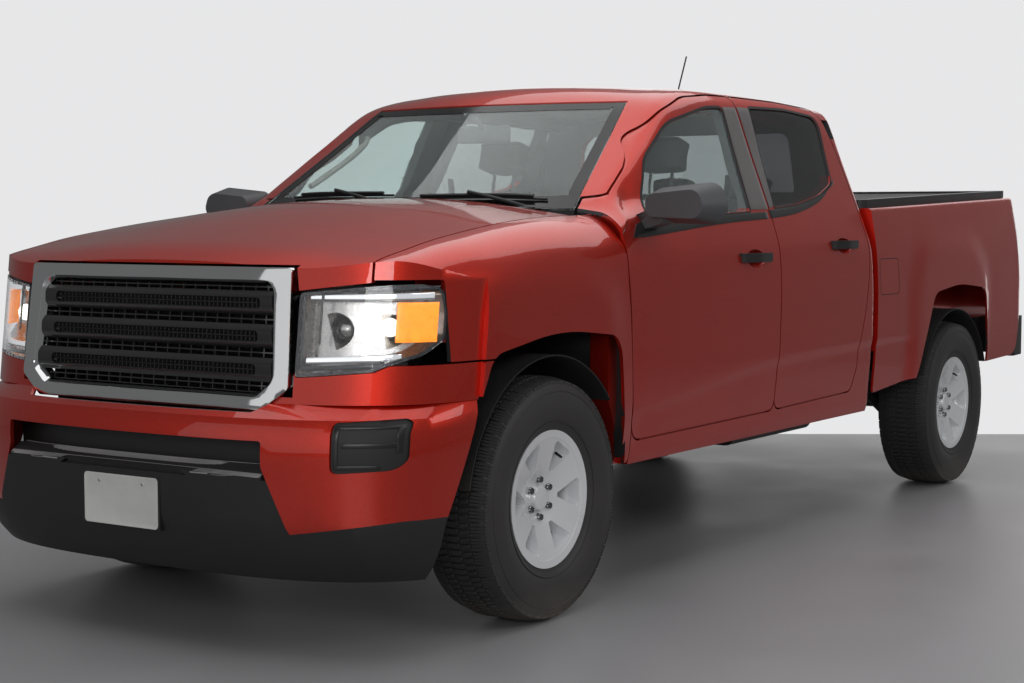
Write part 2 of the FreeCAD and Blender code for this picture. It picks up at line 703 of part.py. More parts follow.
LAMP_INNER = 562.0
lamp_front_view = [
    (LAMP_INNER, 818, 10), (LAMP_INNER, LAMP_TOP_INNER, 10), (800, LAMP_TOP_OUTER - 6, 200), (1000, LAMP_TOP_OUTER),
    (1000, 830), (780, 836, 200),
]
lamp_side_view = [
    (-900, 780), (-900, 1100), (-620, 1086, 40), (-552, 1070, 30), (-542, 1000, 60), (-552, 926, 40), (-625, 880, 100),
    (-712, 853, 200), (-800, 780),
]
LENS = 4.0
LAMP_TRAY = 8.0
LAMP_DEPTH = 130.0
LAMP_RECESS = 62.0


def lamp_prism(margin=0.0):
    """The lamp's outline seen from the front and from the side."""
    front = lamp_front_view if not margin else grown(lamp_front_view, margin)
    side = lamp_side_view if not margin else grown(lamp_side_view, margin)
    return prism_y(front, -900, -400).common(prism_x(side, 400, FAR))


fender_zone = [
    (NOSE_END, 452, 20), (NOSE_END, 1420), (-860, 1420), (-860, LAMP_TOP_OUTER + 8), (-548, LAMP_TOP_OUTER + 8, 12),
    (-536, 858), (-200, 858), (-200, 452),
]
front_arch = prism_x(arch(ARCH_FRONT, 0.0), 300, FAR)
FENDER_INNER = 744.0
FENDER_WALL_LOW = 900.0
fender = nose_shell.common(prism_x(fender_zone, HOOD_EDGE + SHUT_GAP, FAR))
fender_flange = nose_panel.cut(nose_solid(44.0)).common(box(840, FAR, 418, NOSE_END, 470, 1150))
inner_wall = nose_panel.common(box(HOOD_EDGE + SHUT_GAP, HOOD_EDGE + SHUT_GAP + 5, -520, CAB_START, FENDER_WALL_LOW, 1400))
fender = fender.fuse(fender_flange).fuse(inner_wall).cut(front_arch.common(box(850, FAR, -800, 700, 0, 1100)))
fender = fender.cut(front_lock).cut(prism_x(grown(DOOR_FRONT_OUTLINE, SHUT_GAP), 600, FAR)).cut(lamp_prism(SEAM))
fender = solid_of(fender.removeSplitter())
body_side = solid_of(body_side.cut(fender))

# Headlamps: a lens that follows the body and a tray with two reflectors behind it

nose_lens_in = nose_solid(LENS)
lamp_lens = solid_of(nose_skin.cut(nose_lens_in).common(lamp_prism()))
lamp_body = nose_lens_in.cut(nose_solid(LAMP_DEPTH)).common(lamp_prism())
lamp_hollow = nose_lens_in.cut(nose_solid(LAMP_RECESS)).common(lamp_prism(-LAMP_TRAY))
lamp_tray = lamp_body.cut(lamp_hollow)
BOWL_RADIUS = 56.0
for x, y in ((640.0, -690.0), (772.0, -610.0)):
    lamp_tray = lamp_tray.cut(Part.makeCone(BOWL_RADIUS, 26, 60, at(x, y - 40, 950), Vec(0, 1, 0)))
    lamp_tray = lamp_tray.fuse(Part.makeSphere(30, at(x, y + 10, 950)).common(lamp_body))
headlamp = solid_of(lamp_tray)

# Grille: a chamfered surround and a slotted black insert with three rounded bars

grille_outer = [(536, 1130, 14), (551, 784, 20), (459, 718, 20), (-459, 718, 20), (-551, 784, 20), (-536, 1130, 14)]
grille_inner = [(468, 1078, 30), (487, 810, 24), (436, 772, 24), (-436, 772, 24), (-487, 810, 24), (-468, 1078, 30)]
SURROUND_OUT = 12.0
SURROUND_DEPTH = 34.0
SURROUND_CHAMFER = 24.0
surround_layer = face_volume(-SURROUND_OUT).cut(face_volume(SURROUND_DEPTH))
grille_surround = prism_y(grille_outer, -900, -700).common(surround_layer)
grille_wire_in = rounded_wire(grown(grille_inner, -4.0), lambda x, z: at(x, -784 - (FACE_TOP - z) * FACE_RAKE, z))
grille_wire_out = rounded_wire(grown(grille_inner, SURROUND_CHAMFER), lambda x, z: at(x, -824 - (FACE_TOP - z) * FACE_RAKE, z))
grille_surround = grille_surround.cut(Part.makeLoft([grille_wire_in, grille_wire_out], True, True))
grille_surround = solid_of(grille_surround.cut(prism_y(grille_inner, -900, -700)))

BAR_HEIGHTS = [834.0, 930.0, 1026.0]
BAR_HEIGHT = 72.0
BAR_BULGE = 12.0
BAR_DEPTH = 26.0
BAR_HOLLOW_HALF = 425.0
BAR_HOLLOW_RISE = 17.0
BAR_HOLLOW_DEPTH = 12.0
FIN_PITCH = 48.0
FIN = 4.0
GRILLE_BACK = 22.0
back_layer = face_volume(GRILLE_BACK).cut(face_volume(GRILLE_BACK + 14))
slot_layer = prism_y(grown(grille_inner, 10.0), -900, -700).common(face_volume(SURROUND_DEPTH).cut(face_volume(SURROUND_DEPTH + 6)))
rim_layer = slot_layer.cut(prism_y(grille_inner, -900, -700))
grille_pieces = [rim_layer]
opening = prism_y(grille_inner, -900, -700)
for z in BAR_HEIGHTS:
    y_face = -800 - (FACE_TOP - z) * FACE_RAKE
    section = [
        (y_face + BAR_BULGE, z - BAR_HEIGHT / 2, 6), (y_face - 2, z - BAR_HEIGHT / 4, 24), (y_face - 2, z + BAR_HEIGHT / 4, 24),
        (y_face + BAR_BULGE, z + BAR_HEIGHT / 2, 6), (y_face + BAR_BULGE + BAR_DEPTH, z + BAR_HEIGHT / 2),
        (y_face + BAR_BULGE + BAR_DEPTH, z - BAR_HEIGHT / 2),
    ]
    hollow_view = [
        (-BAR_HOLLOW_HALF, z - BAR_HOLLOW_RISE, 14), (-BAR_HOLLOW_HALF, z + BAR_HOLLOW_RISE, 14),
        (BAR_HOLLOW_HALF, z + BAR_HOLLOW_RISE, 14), (BAR_HOLLOW_HALF, z - BAR_HOLLOW_RISE, 14),
    ]
    hollow = prism_y(hollow_view, y_face - 40, y_face + BAR_HOLLOW_DEPTH)
    grille_pieces.append(prism_x(section, -520, 520).common(opening).cut(hollow))
FIN_HEIGHTS = [786.0, 882.0, 978.0, 1072.0]
fin_plate = face_volume(GRILLE_BACK).cut(face_volume(SURROUND_DEPTH + 6)).common(opening)
fin_count = int(2 * 480 / FIN_PITCH)
fins = [box((i - fin_count / 2.0) * FIN_PITCH - FIN / 2, (i - fin_count / 2.0) * FIN_PITCH + FIN / 2, -900, -700, 700, 1120) for i in range(fin_count + 1)]
fins += [box(-520, 520, -900, -700, z - FIN / 2, z + FIN / 2) for z in FIN_HEIGHTS]
lattice = fins[0].multiFuse(fins[1:])
grille_insert = grille_pieces[0].multiFuse(grille_pieces[1:] + fin_plate.common(lattice).Solids)
grille_insert = solid_of(grille_insert)

# Front bumper: painted cover, black lower valance with the plate pad, intake and lamp bezels

BUMPER_CURVE = [(0, -965), (280, -958), (500, -932), (660, -884), (790, -806), (880, -704), (924, -590), (940, -470), (942, -360)]
BUMPER_LEVELS = [(232, 84), (268, 52), (330, 22), (400, 4), (600, 0), (664, 4), (704, 20), (742, 78)]
BUMPER_TUCK = 0.22
COVER = 12.0


def bumper_volume(inward, forward=0.0):
    """The bumper's volume, drawn in from its skin."""
    wires = []
    for z, back in BUMPER_LEVELS:
        curve = [(x, y) for x, y in BUMPER_CURVE[:0:-1]] + [(-x, y) for x, y in BUMPER_CURVE]
        points = []
        for x, y in curve:
            side = (inward + back * BUMPER_TUCK) * min(1.0, abs(x) / 900.0)
            move = inward * clamp((960.0 - abs(x)) / 260.0)
            points.append(Vec(x - math.copysign(side, x) if x else 0.0, st(y + back + move - forward), z))
        wires.append(spline_wire(points, []))
    return Part.makeLoft(wires, True, True)


bumper_skin = bumper_volume(0.0)
bumper_shell = bumper_skin.cut(bumper_volume(COVER))
PAINT_LOW = 530.0
PAINT_EDGE = 416.0
INTAKE_TOP = 642.0
INTAKE_HALF = 520.0
BAR_TOP = 568.0
PAINT_TOP = 852.0
NOTCH_LOW = (600.0, 378.0)
PAINT_STEP = (735.0, 397.0)
PAINT_FLAT = 870.0
half_paint = [
    (INTAKE_HALF, INTAKE_TOP, 10), (INTAKE_HALF, BAR_TOP, 20), NOTCH_LOW, PAINT_STEP, (PAINT_FLAT, PAINT_EDGE),
    (1000, PAINT_EDGE), (1000, PAINT_TOP),
]
paint_view = half_paint + [(-p[0],) + tuple(p[1:]) for p in half_paint[::-1]]
bezel_view = [(714, 698, 16), (880, 708, 18), (880, 564, 46), (714, 554, 16)]
bezel_prism = prism_y(bezel_view, -1000, -560)
upper_cover = nose_shell.common(box(-FAR, FAR, -900, -300, 742, 858))
bumper = bumper_shell.common(box(-FAR, FAR, -1000, -300, 300, 742)).fuse(upper_cover)
bumper = bumper.common(prism_y(paint_view, -1000, -300))
bumper = bumper.cut(prism_y(grown(grille_outer, SEAM), -1000, -600))
bumper = bumper.cut(both(lamp_prism(2.0)))
bumper = bumper.cut(both(bezel_prism))
bumper = bumper.cut(both(front_arch))
bumper = bumper.cut(box(-560, 560, -1000, -500, 760, 1000))
bumper_front = solid_of(bumper.removeSplitter())

PLATE_PAD_HALF = 160.0
PLATE_PAD_LOW = 356.0
PLATE_PAD_HIGH = 512.0
PLATE_FACE = 962.0
PLATE_HOLE_SPACING = 178.0
PLATE_HOLE_RADIUS = 3.0
PLATE_HOLE_HEIGHT = 488.0
valance_shell = bumper_skin.cut(bumper_volume(COVER)).common(box(-FAR, FAR, -1000, -300, 200, PAINT_LOW - SEAM))
valance = valance_shell.cut(prism_y(grown(paint_view, SEAM), -1000, -280))
ledge = bumper_skin.cut(bumper_volume(70.0)).common(box(-INTAKE_HALF + SEAM, INTAKE_HALF - SEAM, -1000, -700, PAINT_LOW - 40, BAR_TOP))
ledge = ledge.cut(prism_x([(-1000, BAR_TOP - 2), (-1000, BAR_TOP + 90), (-890, BAR_TOP + 90), (-890, BAR_TOP - 2), (-936, BAR_TOP - 34)], -FAR, FAR))
ledge = ledge.cut(prism_y([(-274, PAINT_LOW - 8), (-226, BAR_TOP - 18, 10), (226, BAR_TOP - 18, 10), (274, PAINT_LOW - 8)], -1000, -942))
intake_back = bumper_volume(86.0).cut(bumper_volume(96.0)).common(box(-620, 620, -1000, -600, PAINT_LOW - 60, INTAKE_TOP + 40))
shelf = bumper_volume(COVER).cut(bumper_volume(96.0)).common(box(-540, 540, -1000, -600, PAINT_LOW - 60, PAINT_LOW - 48))
pad = box(-PLATE_PAD_HALF, PLATE_PAD_HALF, -PLATE_FACE, -900, PLATE_PAD_LOW, PLATE_PAD_HIGH)
pad = pad.cut(bumper_volume(COVER + 4))
bumper_lower = fused(valance, ledge, intake_back, shelf, pad)
for side in (-1, 1):
    hole = rod(at(side * PLATE_HOLE_SPACING / 2, -PLATE_FACE - 5, PLATE_HOLE_HEIGHT), at(side * PLATE_HOLE_SPACING / 2, -900, PLATE_HOLE_HEIGHT), PLATE_HOLE_RADIUS)
    bumper_lower = bumper_lower.cut(hole)
bumper_lower = bumper_lower.cut(both(front_arch))
bumper_lower = solid_of(bumper_lower)
bezel = bumper_volume(6.0).cut(bumper_volume(46.0)).common(bezel_prism)
bezel_cut = bumper_volume(6.0).cut(bumper_volume(36.0)).common(prism_y(grown(bezel_view, -16.0), -1000, -560))
bezel = bezel.cut(bezel_cut).cut(front_arch)
bezel = solid_of(bezel.fuse(bumper_volume(20.0).cut(bumper_volume(44.0)).common(bezel_prism).common(box(690, 930, -1000, -600, 622, 640))))


# Radiator support behind the grille, with the hood's rest pads
RAIL_WIDTH = 72.0
FRONT_RAIL_X = 348.0
MAIN_RAIL_X = 432.0
SUPPORT_Y = -640.0
support_view = [(-620, 500, 20), (-620, 1030, 40), (-500, 1062, 40), (500, 1062, 40), (620, 1030, 40), (620, 500, 20)]
support_hole = [(-440, 560, 20), (-440, 1000, 20), (440, 1000, 20), (440, 560, 20)]
radiator_support = prism_y(support_view, SUPPORT_Y, SUPPORT_Y + 40).cut(prism_y(support_hole, SUPPORT_Y - 5, SUPPORT_Y + 45))
core = box(-440, 440, SUPPORT_Y + 8, SUPPORT_Y + 34, 560, 1000)
brackets = both(box(560, 640, SUPPORT_Y - 12, SUPPORT_Y + 60, 830, 900).cut(lamp_prism()))
radiator_support = fused(radiator_support, core, box(-30, 30, SUPPORT_Y - 60, SUPPORT_Y + 10, 1010, 1062), *brackets.Solids)
for side in (-1, 1):
    pad_rod = rod(at(side * 520, SUPPORT_Y + 20, 1020), at(side * 520, SUPPORT_Y + 20, 1180), 12)
    radiator_support = radiator_support.fuse(pad_rod.common(nose_solid(HOOD_FRAME + SEAM)))
rail_slot = both(box(FRONT_RAIL_X - SEAM, FRONT_RAIL_X + RAIL_WIDTH + SEAM, SUPPORT_Y - 20, SUPPORT_Y + 60, 400, 640 + SEAM))
radiator_support = solid_of(radiator_support.cut(rail_slot))

# Cargo bed: its volume has a flat lid at the rail's height and rounded rear corners

BED_SECTION = profile([
    (444, 900), (520, 918), (640, 928), (800, BODY_HALF_WIDTH), (950, BODY_HALF_WIDTH),
    (1080, 926), (1150, 919), (1220, 908), (1300, 893), (1390, 874),
])
RAIL_FRONT = 1313.0
RAIL_SLOPE = 0.034
BED_CORNER_RADIUS = 96.0
BED_STATIONS = [BED_FRONT, 2640, 2740, 2830, 2910, 2990, 3080, 3180, 3300, 3430, 3560, 3690, 3790, 3880, 3960, 4060, 4180, 4300, 4380]
BED_WALL = 10.0
BED_INNER_X = 742.0
BED_FLOOR_TOP = 800.0
BED_RAIL_RADIUS = 16.0


def bed_side_x(y, z):
    return lower_side_x(y, z, BED_SECTION)


def rail_top(y):
    return RAIL_FRONT + RAIL_SLOPE * (y - BED_FRONT)


def bed_solid(depth):
    """The bed's volume, drawn in from its skin."""
    sections = []
    start = BED_END - BED_CORNER_RADIUS
    for y in BED_STATIONS:
        sections.append((y, half_section(y, (depth, depth), 0.0, side_rows(y), rail_top(y), 0.0, BED_RAIL_RADIUS, bed_side_x)))
    for i in range(6):
        turn = math.radians(18.0 * i)
        y = start - depth + BED_CORNER_RADIUS * math.sin(turn)
        inset = BED_CORNER_RADIUS * (1.0 - math.cos(turn))
        half = half_section(y, (depth, depth), 0.0, side_rows(y), rail_top(y), 0.0, BED_RAIL_RADIUS, lambda a, b: bed_side_x(a, b) - inset)
        sections.append((y, half))
    return ring_solid(sections)


bed_skin = bed_solid(0.0)
bed_inside = bed_solid(BED_WALL)
rear_arch = prism_x(arch(ARCH_REAR, WHEELBASE), 870, FAR)
REAR_LOCK = 446.0
rear_room = Part.makeCylinder(REAR_LOCK, FAR, at(0, WHEELBASE, TYRE_RADIUS), Vec(1, 0, 0))
bed_side_view = [
    (BED_FRONT, 518, 12), (BED_FRONT, 1420), (BED_END + 20, 1420), (BED_END + 20, 806), (4440, 800, 20), (4400, 600, 60),
    (4340, 572, 40), (WHEELBASE + 300, 560), (WHEELBASE - 300, 555), (2960, 549, 200),
]
bed_zone = prism_x(bed_side_view, BED_INNER_X - 6, FAR)
bed_side = bed_skin.cut(bed_inside).common(bed_zone)
inner_wall = bed_skin.common(box(BED_INNER_X - 6, BED_INNER_X, BED_FRONT, BED_END - 6, BED_FLOOR_TOP - 40, 1420))
LINER = 5.0
inner_wall = inner_wall.cut(Part.makeCylinder(REAR_LOCK + LINER + SEAM, FAR, at(0, WHEELBASE, TYRE_RADIUS), Vec(1, 0, 0)))
rail_fill = bed_skin.cut(bed_solid(24.0)).common(box(BED_INNER_X - 6, FAR, BED_FRONT, BED_END - 6, 1200, 1420))
front_close = bed_inside.common(prism_x([(BED_FRONT, 700), (BED_FRONT, 1400), (BED_FRONT + 6, 1400), (BED_FRONT + 6, 700)], BED_INNER_X - 6, FAR))
bed_side = bed_side.fuse(inner_wall).fuse(rail_fill).fuse(front_close)
bed_side = bed_side.cut(rear_arch)

# Tail lamps wrap the bed's rear corners
lamp_zone = prism_x([(4424, 975, 16), (4412, 1210, 30), (4390, 1318, 30), (BED_END + 20, 1318), (BED_END + 20, 965), (4440, 962, 16)], 792, FAR)
TAIL_DEPTH = 46.0
tail_block = bed_skin.cut(bed_solid(TAIL_DEPTH)).common(lamp_zone)
bed_side = bed_side.cut(lamp_zone)
tail_lamp = solid_of(tail_block)
above_rail = prism_x([
    (BED_FRONT - 20, rail_top(BED_FRONT - 20)), (BED_END + 20, rail_top(BED_END + 20)), (BED_END + 20, 1600), (BED_FRONT - 20, 1600),
], 400, 850)
bed_side = solid_of(bed_side.cut(above_rail))

# Bed floor with pressed ribs, wheel housings and the front bulkhead
RIB_PITCH = 118.0
RIB_HEIGHT = 12.0
FLOOR_SHEET = 5.0
floor_top = []
floor_low = []
rib_count = 12
half_span = BED_INNER_X - 6 - SEAM
for i in range(rib_count):
    x = -half_span + (i + 0.5) * 2 * half_span / rib_count
    low = BED_FLOOR_TOP - RIB_HEIGHT
    floor_top += [(x - 46, low), (x - 32, BED_FLOOR_TOP), (x + 32, BED_FLOOR_TOP), (x + 46, low)]
outline = [(-half_span, BED_FLOOR_TOP - RIB_HEIGHT)] + floor_top + [(half_span, BED_FLOOR_TOP - RIB_HEIGHT)]
outline += [(half_span, BED_FLOOR_TOP - RIB_HEIGHT - FLOOR_SHEET), (-half_span, BED_FLOOR_TOP - RIB_HEIGHT - FLOOR_SHEET)]
TAILGATE_FRONT = BED_END - 58.0
bed_floor = prism_y(outline, BED_FRONT, TAILGATE_FRONT - 4)
HOUSING_INNER_X = 585.0
HOUSING_RADIUS = 490.0
housing = Part.makeCylinder(HOUSING_RADIUS, BED_INNER_X - 6 - SEAM - HOUSING_INNER_X, at(HOUSING_INNER_X, WHEELBASE, TYRE_RADIUS), Vec(1, 0, 0))
housing = housing.common(box(0, FAR, 2700, 4300, BED_FLOOR_TOP - 40, 1100))
housing_room = Part.makeCylinder(HOUSING_RADIUS - 20, 400, at(HOUSING_INNER_X + 6, WHEELBASE, TYRE_RADIUS), Vec(1, 0, 0))
bulkhead = box(-half_span, half_span, BED_FRONT, BED_FRONT + 8, BED_FLOOR_TOP - 40, rail_top(BED_FRONT) - 30)
REAR_FRAME_TOP = 700.0
sills = [box(-half_span + 20, half_span - 20, y, y + 60, REAR_FRAME_TOP, BED_FLOOR_TOP - RIB_HEIGHT - 2) for y in (2620, 3110, 4070, 4370)]
bed_floor = bed_floor.fuse(both(housing).Solids[0]).fuse(both(housing).Solids[1])
bed_floor = bed_floor.cut(both(housing_room))
bed_floor = bed_floor.multiFuse([bulkhead] + sills)
bed_floor = solid_of(bed_floor.cut(both(bed_side)))

# Tailgate between the bed's rear posts, hinged on two trunnions at its foot
TAILGATE_HALF = BED_INNER_X - 6 - SHUT_GAP
TAILGATE_LOW = 812.0
TAILGATE_PIVOT_Z = 838.0
TAILGATE_PIVOT_Y = BED_END - 30.0
TRUNNION = 11.0
TRUNNION_CLEARANCE = 0.3
gate_view = [
    (-TAILGATE_HALF, TAILGATE_LOW, 14), (-TAILGATE_HALF, 1364, 22), (TAILGATE_HALF, 1364, 22), (TAILGATE_HALF, TAILGATE_LOW, 14),
]
gate_side = [
    (TAILGATE_FRONT, TAILGATE_LOW + 8, 10), (TAILGATE_FRONT, 1362, 8), (BED_END + 6, 1364, 14), (BED_END - 2, 1290, 40),
    (BED_END - 2, 1000, 400), (BED_END - 10, TAILGATE_LOW, 12),
]
tailgate = prism_y(gate_view, TAILGATE_FRONT, BED_END + 10).common(prism_x(gate_side, -TAILGATE_HALF, TAILGATE_HALF))
panel_dish = prism_y([(-560, 900, 30), (-600, 1190, 30), (600, 1190, 30), (560, 900, 30)], BED_END - 10, BED_END + 20)
tailgate = tailgate.cut(panel_dish)
handle_cup = prism_y([(-120, 1228, 14), (-120, 1300, 14), (120, 1300, 14), (120, 1228, 14)], BED_END - 24, BED_END + 20)
handle_bar = prism_y([(-104, 1262, 8), (-104, 1292, 8), (104, 1292, 8), (104, 1262, 8)], BED_END - 26, BED_END - 2)
tailgate = tailgate.cut(handle_cup).fuse(handle_bar)
TRUNNION_REACH = 22.0
for side in (-1, 1):
    start = at(side * (TAILGATE_HALF - 20), TAILGATE_PIVOT_Y, TAILGATE_PIVOT_Z)
    end = at(side * (TAILGATE_HALF + TRUNNION_REACH), TAILGATE_PIVOT_Y, TAILGATE_PIVOT_Z)
    tailgate = tailgate.fuse(rod(start, end, TRUNNION))
tailgate = solid_of(tailgate.removeSplitter())
socket_start = at(BED_INNER_X - 8, TAILGATE_PIVOT_Y, TAILGATE_PIVOT_Z)
socket_end = at(BED_INNER_X + 26, TAILGATE_PIVOT_Y, TAILGATE_PIVOT_Z)
socket_block = rod(at(BED_INNER_X - 6, TAILGATE_PIVOT_Y, TAILGATE_PIVOT_Z), socket_end, 26)
bed_side = bed_side.fuse(socket_block.common(bed_skin)).cut(rod(socket_start, socket_end + Vec(10, 0, 0), TRUNNION + TRUNNION_CLEARANCE))
bed_side = solid_of(bed_side)

# Tonneau: a panel with a raised edge frame, hinged along its front edge
COVER_FRONT = 2596.0
COVER_END = TAILGATE_FRONT - 8.0
COVER_HALF = 842.0
COVER_THICK = 26.0
COVER_FRAME = 74.0
COVER_FRAME_RISE = 10.0
cover_lift = RAIL_SLOPE * (COVER_END - COVER_FRONT)


def tilted_plate(x0, x1, y0, y1, low, high, radius):
    """A plate that follows the rail's slope, between two offsets above the rail."""
    points = [(x0, y0, radius), (x1, y0, radius), (x1, y1, radius), (x0, y1, radius)]
    plate = prism_z(points, rail_top(y0) - 400, rail_top(y1) + 400)
    band = [(y0, rail_top(y0) + low), (y1, rail_top(y1) + low), (y1, rail_top(y1) + high), (y0, rail_top(y0) + high)]
    return plate.common(prism_x(band, x0 - 10, x1 + 10))


cover_frame = tilted_plate(-COVER_HALF, COVER_HALF, COVER_FRONT, COVER_END, SEAM, COVER_THICK + COVER_FRAME_RISE, 40)
cover_dish = tilted_plate(-COVER_HALF + COVER_FRAME, COVER_HALF - COVER_FRAME, COVER_FRONT + COVER_FRAME, COVER_END - COVER_FRAME, COVER_THICK, COVER_THICK + 60, 24)
cover_hollow = tilted_plate(-COVER_HALF + COVER_FRAME + 20, COVER_HALF - COVER_FRAME - 20, COVER_FRONT + 90, COVER_END - 90, -10, COVER_THICK - 8, 24)
tonneau = solid_of(cover_frame.cut(cover_dish).cut(cover_hollow))

# Rear bumper with corner steps, a tow ball hole and a textured top
REAR_BAR_LOW = 528.0
REAR_BAR_TOP = 762.0
rear_plan = [
    (0, TAIL - 92), (0, TAIL), (360, TAIL, 300), (700, TAIL - 26, 200), (900, TAIL - 130, 90), (914, 4400, 20), (846, 4400, 20), (800, TAIL - 190, 60),
    (560, TAIL - 92, 60),
]
half_bar = prism_z(rear_plan, REAR_BAR_LOW, REAR_BAR_TOP)
step_cut = prism_z([(520, TAIL - 60, 30), (560, TAIL + 40), (1000, TAIL + 40), (1000, 4580), (760, 4600, 40)], REAR_BAR_TOP - 60, REAR_BAR_TOP + 20)
half_bar = half_bar.cut(step_cut)
underside = prism_x([(4300, 400), (4300, 560), (TAIL - 60, 560), (TAIL + 10, 620), (TAIL + 10, 400)], 380, FAR)
half_bar = half_bar.cut(underside)
center_step = box(0, 200, 4590 + SEAM, TAIL - 80, REAR_BAR_TOP - 120, REAR_BAR_TOP - 96)
half_bar = half_bar.fuse(center_step)
bumper_rear = fused(half_bar, mirrored(half_bar))
notch = prism_y([(-190, REAR_BAR_LOW - 10), (-210, REAR_BAR_TOP - 96, 20), (210, REAR_BAR_TOP - 96, 20), (190, REAR_BAR_LOW - 10)], TAIL - 40, TAIL + 20)
bumper_rear = bumper_rear.cut(notch)
TOW_HOLE_RADIUS = 12.7
TOW_HOLE_Y = TAIL - 115.0
bumper_rear = bumper_rear.cut(rod(at(0, TOW_HOLE_Y, 560), at(0, TOW_HOLE_Y, 800), TOW_HOLE_RADIUS))
bumper_bracket = both(box(MAIN_RAIL_X + RAIL_WIDTH, MAIN_RAIL_X + RAIL_WIDTH + 30, 4440, TAIL - 60, 600, 690))
bumper_rear = solid_of(bumper_rear.multiFuse(bumper_bracket.Solids).removeSplitter())

# Ladder frame: two boxed rails with a kick-up over each axle, joined by cross members
front_rail_side = [
    (-800, 520), (-800, 640, 8), (-420, 640, 120), (-260, 700, 160), (260, 700, 160), (520, 560, 120), (900, 540), (900, 400),
    (560, 400, 120), (300, 560, 160), (-260, 560, 160), (-440, 520, 120),
]
main_rail_side = [
    (700, 400), (2700, 400, 200), (3120, 560, 200), (3960, 560, 200), (4180, 590, 100), (4600, 590), (4600, 700, 8), (3060, 700, 200), (2640, 540, 200),
    (700, 540),
]
front_rail = prism_x(front_rail_side, FRONT_RAIL_X, FRONT_RAIL_X + RAIL_WIDTH)
main_rail = prism_x(main_rail_side, MAIN_RAIL_X, MAIN_RAIL_X + RAIL_WIDTH)
joint_block = box(FRONT_RAIL_X + 10, MAIN_RAIL_X + 20, 700, 900, 410, 530)
rail = fused(front_rail, main_rail, joint_block)
crossings = [
    rod(at(-360, -560, 580), at(360, -560, 580), 44),
    box(-440, 440, 880, 950, 400, 432),
    box(-440, 440, 1870, 1950, 514, 540),
    rod(at(-440, 2620, 500), at(440, 2620, 500), 22),
    rod(at(-440, 3100, 630), at(440, 3100, 630), 38),
    box(-440, 440, 4165, 4235, 612, 690),
    box(-440, 440, 4520, 4590, 612, 690),
]
FLOOR_Z = 575.0
REAR_STEP = 90.0
FLOOR_SHEET_CAB = 12.0
DOOR_SWING_ROOM = 11.0
body_mounts = []
for y, top in ((760, FLOOR_Z), (1480, FLOOR_Z), (2350, FLOOR_Z + REAR_STEP)):
    body_mounts.append(box(MAIN_RAIL_X + RAIL_WIDTH - 6, 620, y, y + 90, 500, 520))
    body_mounts.append(rod(at(580, y + 45, 515), at(580, y + 45, top), 34))
left_frame = fused(rail, *body_mounts)
frame = fused(left_frame, mirrored(left_frame), *crossings)

# Cab floor: dash panel, footwell, tunnel and the step under the rear seat
floor_side = [
    (CAB_START + 2, 1180), (CAB_START + 2, 840, 60), (520, FLOOR_Z, 80), (1900, FLOOR_Z, 40), (1960, FLOOR_Z + REAR_STEP, 30),
    (CAB_REAR_SEAM, FLOOR_Z + REAR_STEP), (CAB_REAR_SEAM, FLOOR_Z + REAR_STEP + FLOOR_SHEET_CAB),
    (1950, FLOOR_Z + REAR_STEP + FLOOR_SHEET_CAB, 30), (1888, FLOOR_Z + FLOOR_SHEET_CAB, 40),
    (528, FLOOR_Z + FLOOR_SHEET_CAB, 80), (CAB_START + 14, 848, 60), (CAB_START + 14, 1180),
]
cab_room = cab_inside.fuse(cab_pocket.common(box(-REAR_PANEL_EDGE, REAR_PANEL_EDGE, CAB_BACK - SIDE_WALL - 20, CAB_REAR_SEAM, 400, 1690)))
floor_pan = prism_x(floor_side, -FAR, FAR).common(cab_room)
door_clear = cab_skin.cut(cab_solid(DOOR_DEPTH + DOOR_SWING_ROOM, DOOR_FRAME_DEPTH + DOOR_SWING_ROOM))
for door_line in (DOOR_FRONT_OUTLINE, DOOR_REAR_OUTLINE):
    floor_pan = floor_pan.cut(both(door_clear.common(prism_x(grown(door_line, SHUT_GAP - DOOR_INNER_INSET), POCKET_NEAR, FAR))))
SILL_FOOT_X = 776.0
sill_foot = box(SILL_FOOT_X, FAR, 540, 2330, 496, 508).common(cab_inside)
sill_web = box(SILL_FOOT_X, SILL_FOOT_X + 8, 540, 1880, 496, FLOOR_Z + 4).fuse(box(SILL_FOOT_X, SILL_FOOT_X + 8, 1870, 2330, 496, FLOOR_Z + REAR_STEP + 4))
tunnel_view = [(-170, FLOOR_Z - 5), (-130, 760, 60), (130, 760, 60), (170, FLOOR_Z - 5)]
tunnel = prism_y(tunnel_view, CAB_START + 14, 1700)
tunnel_room = prism_y([(-150, FLOOR_Z - 10), (-114, 746, 50), (114, 746, 50), (150, FLOOR_Z - 10)], CAB_START - 20, 1690)
cowl_shelf = box(-700, 700, CAB_START + 2, 400, 1168, 1180)
floor_pan = floor_pan.multiFuse([tunnel, cowl_shelf] + both(sill_foot.fuse(sill_web)).Solids)
floor_pan = floor_pan.cut(tunnel_room).cut(both(front_lock))
floor_pan = solid_of(floor_pan.removeSplitter())

# Wheels
WHEEL_X = TRACK / 2.0
HUB_FACE_X = WHEEL_X + 26.0
SPINDLE_RADIUS = 42.0
SPINDLE_END = HUB_FACE_X - SEAM


def revolved(profile_points, x, axle):
    """An (x, radius) outline turned about an axle; x is measured from the wheel's middle plane."""
    wire = rounded_wire(profile_points, lambda a, r: Vec(x + a, axle, TYRE_RADIUS + r))
    return Part.Face(wire).revolve(Vec(x, axle, TYRE_RADIUS), Vec(1, 0, 0), 360)


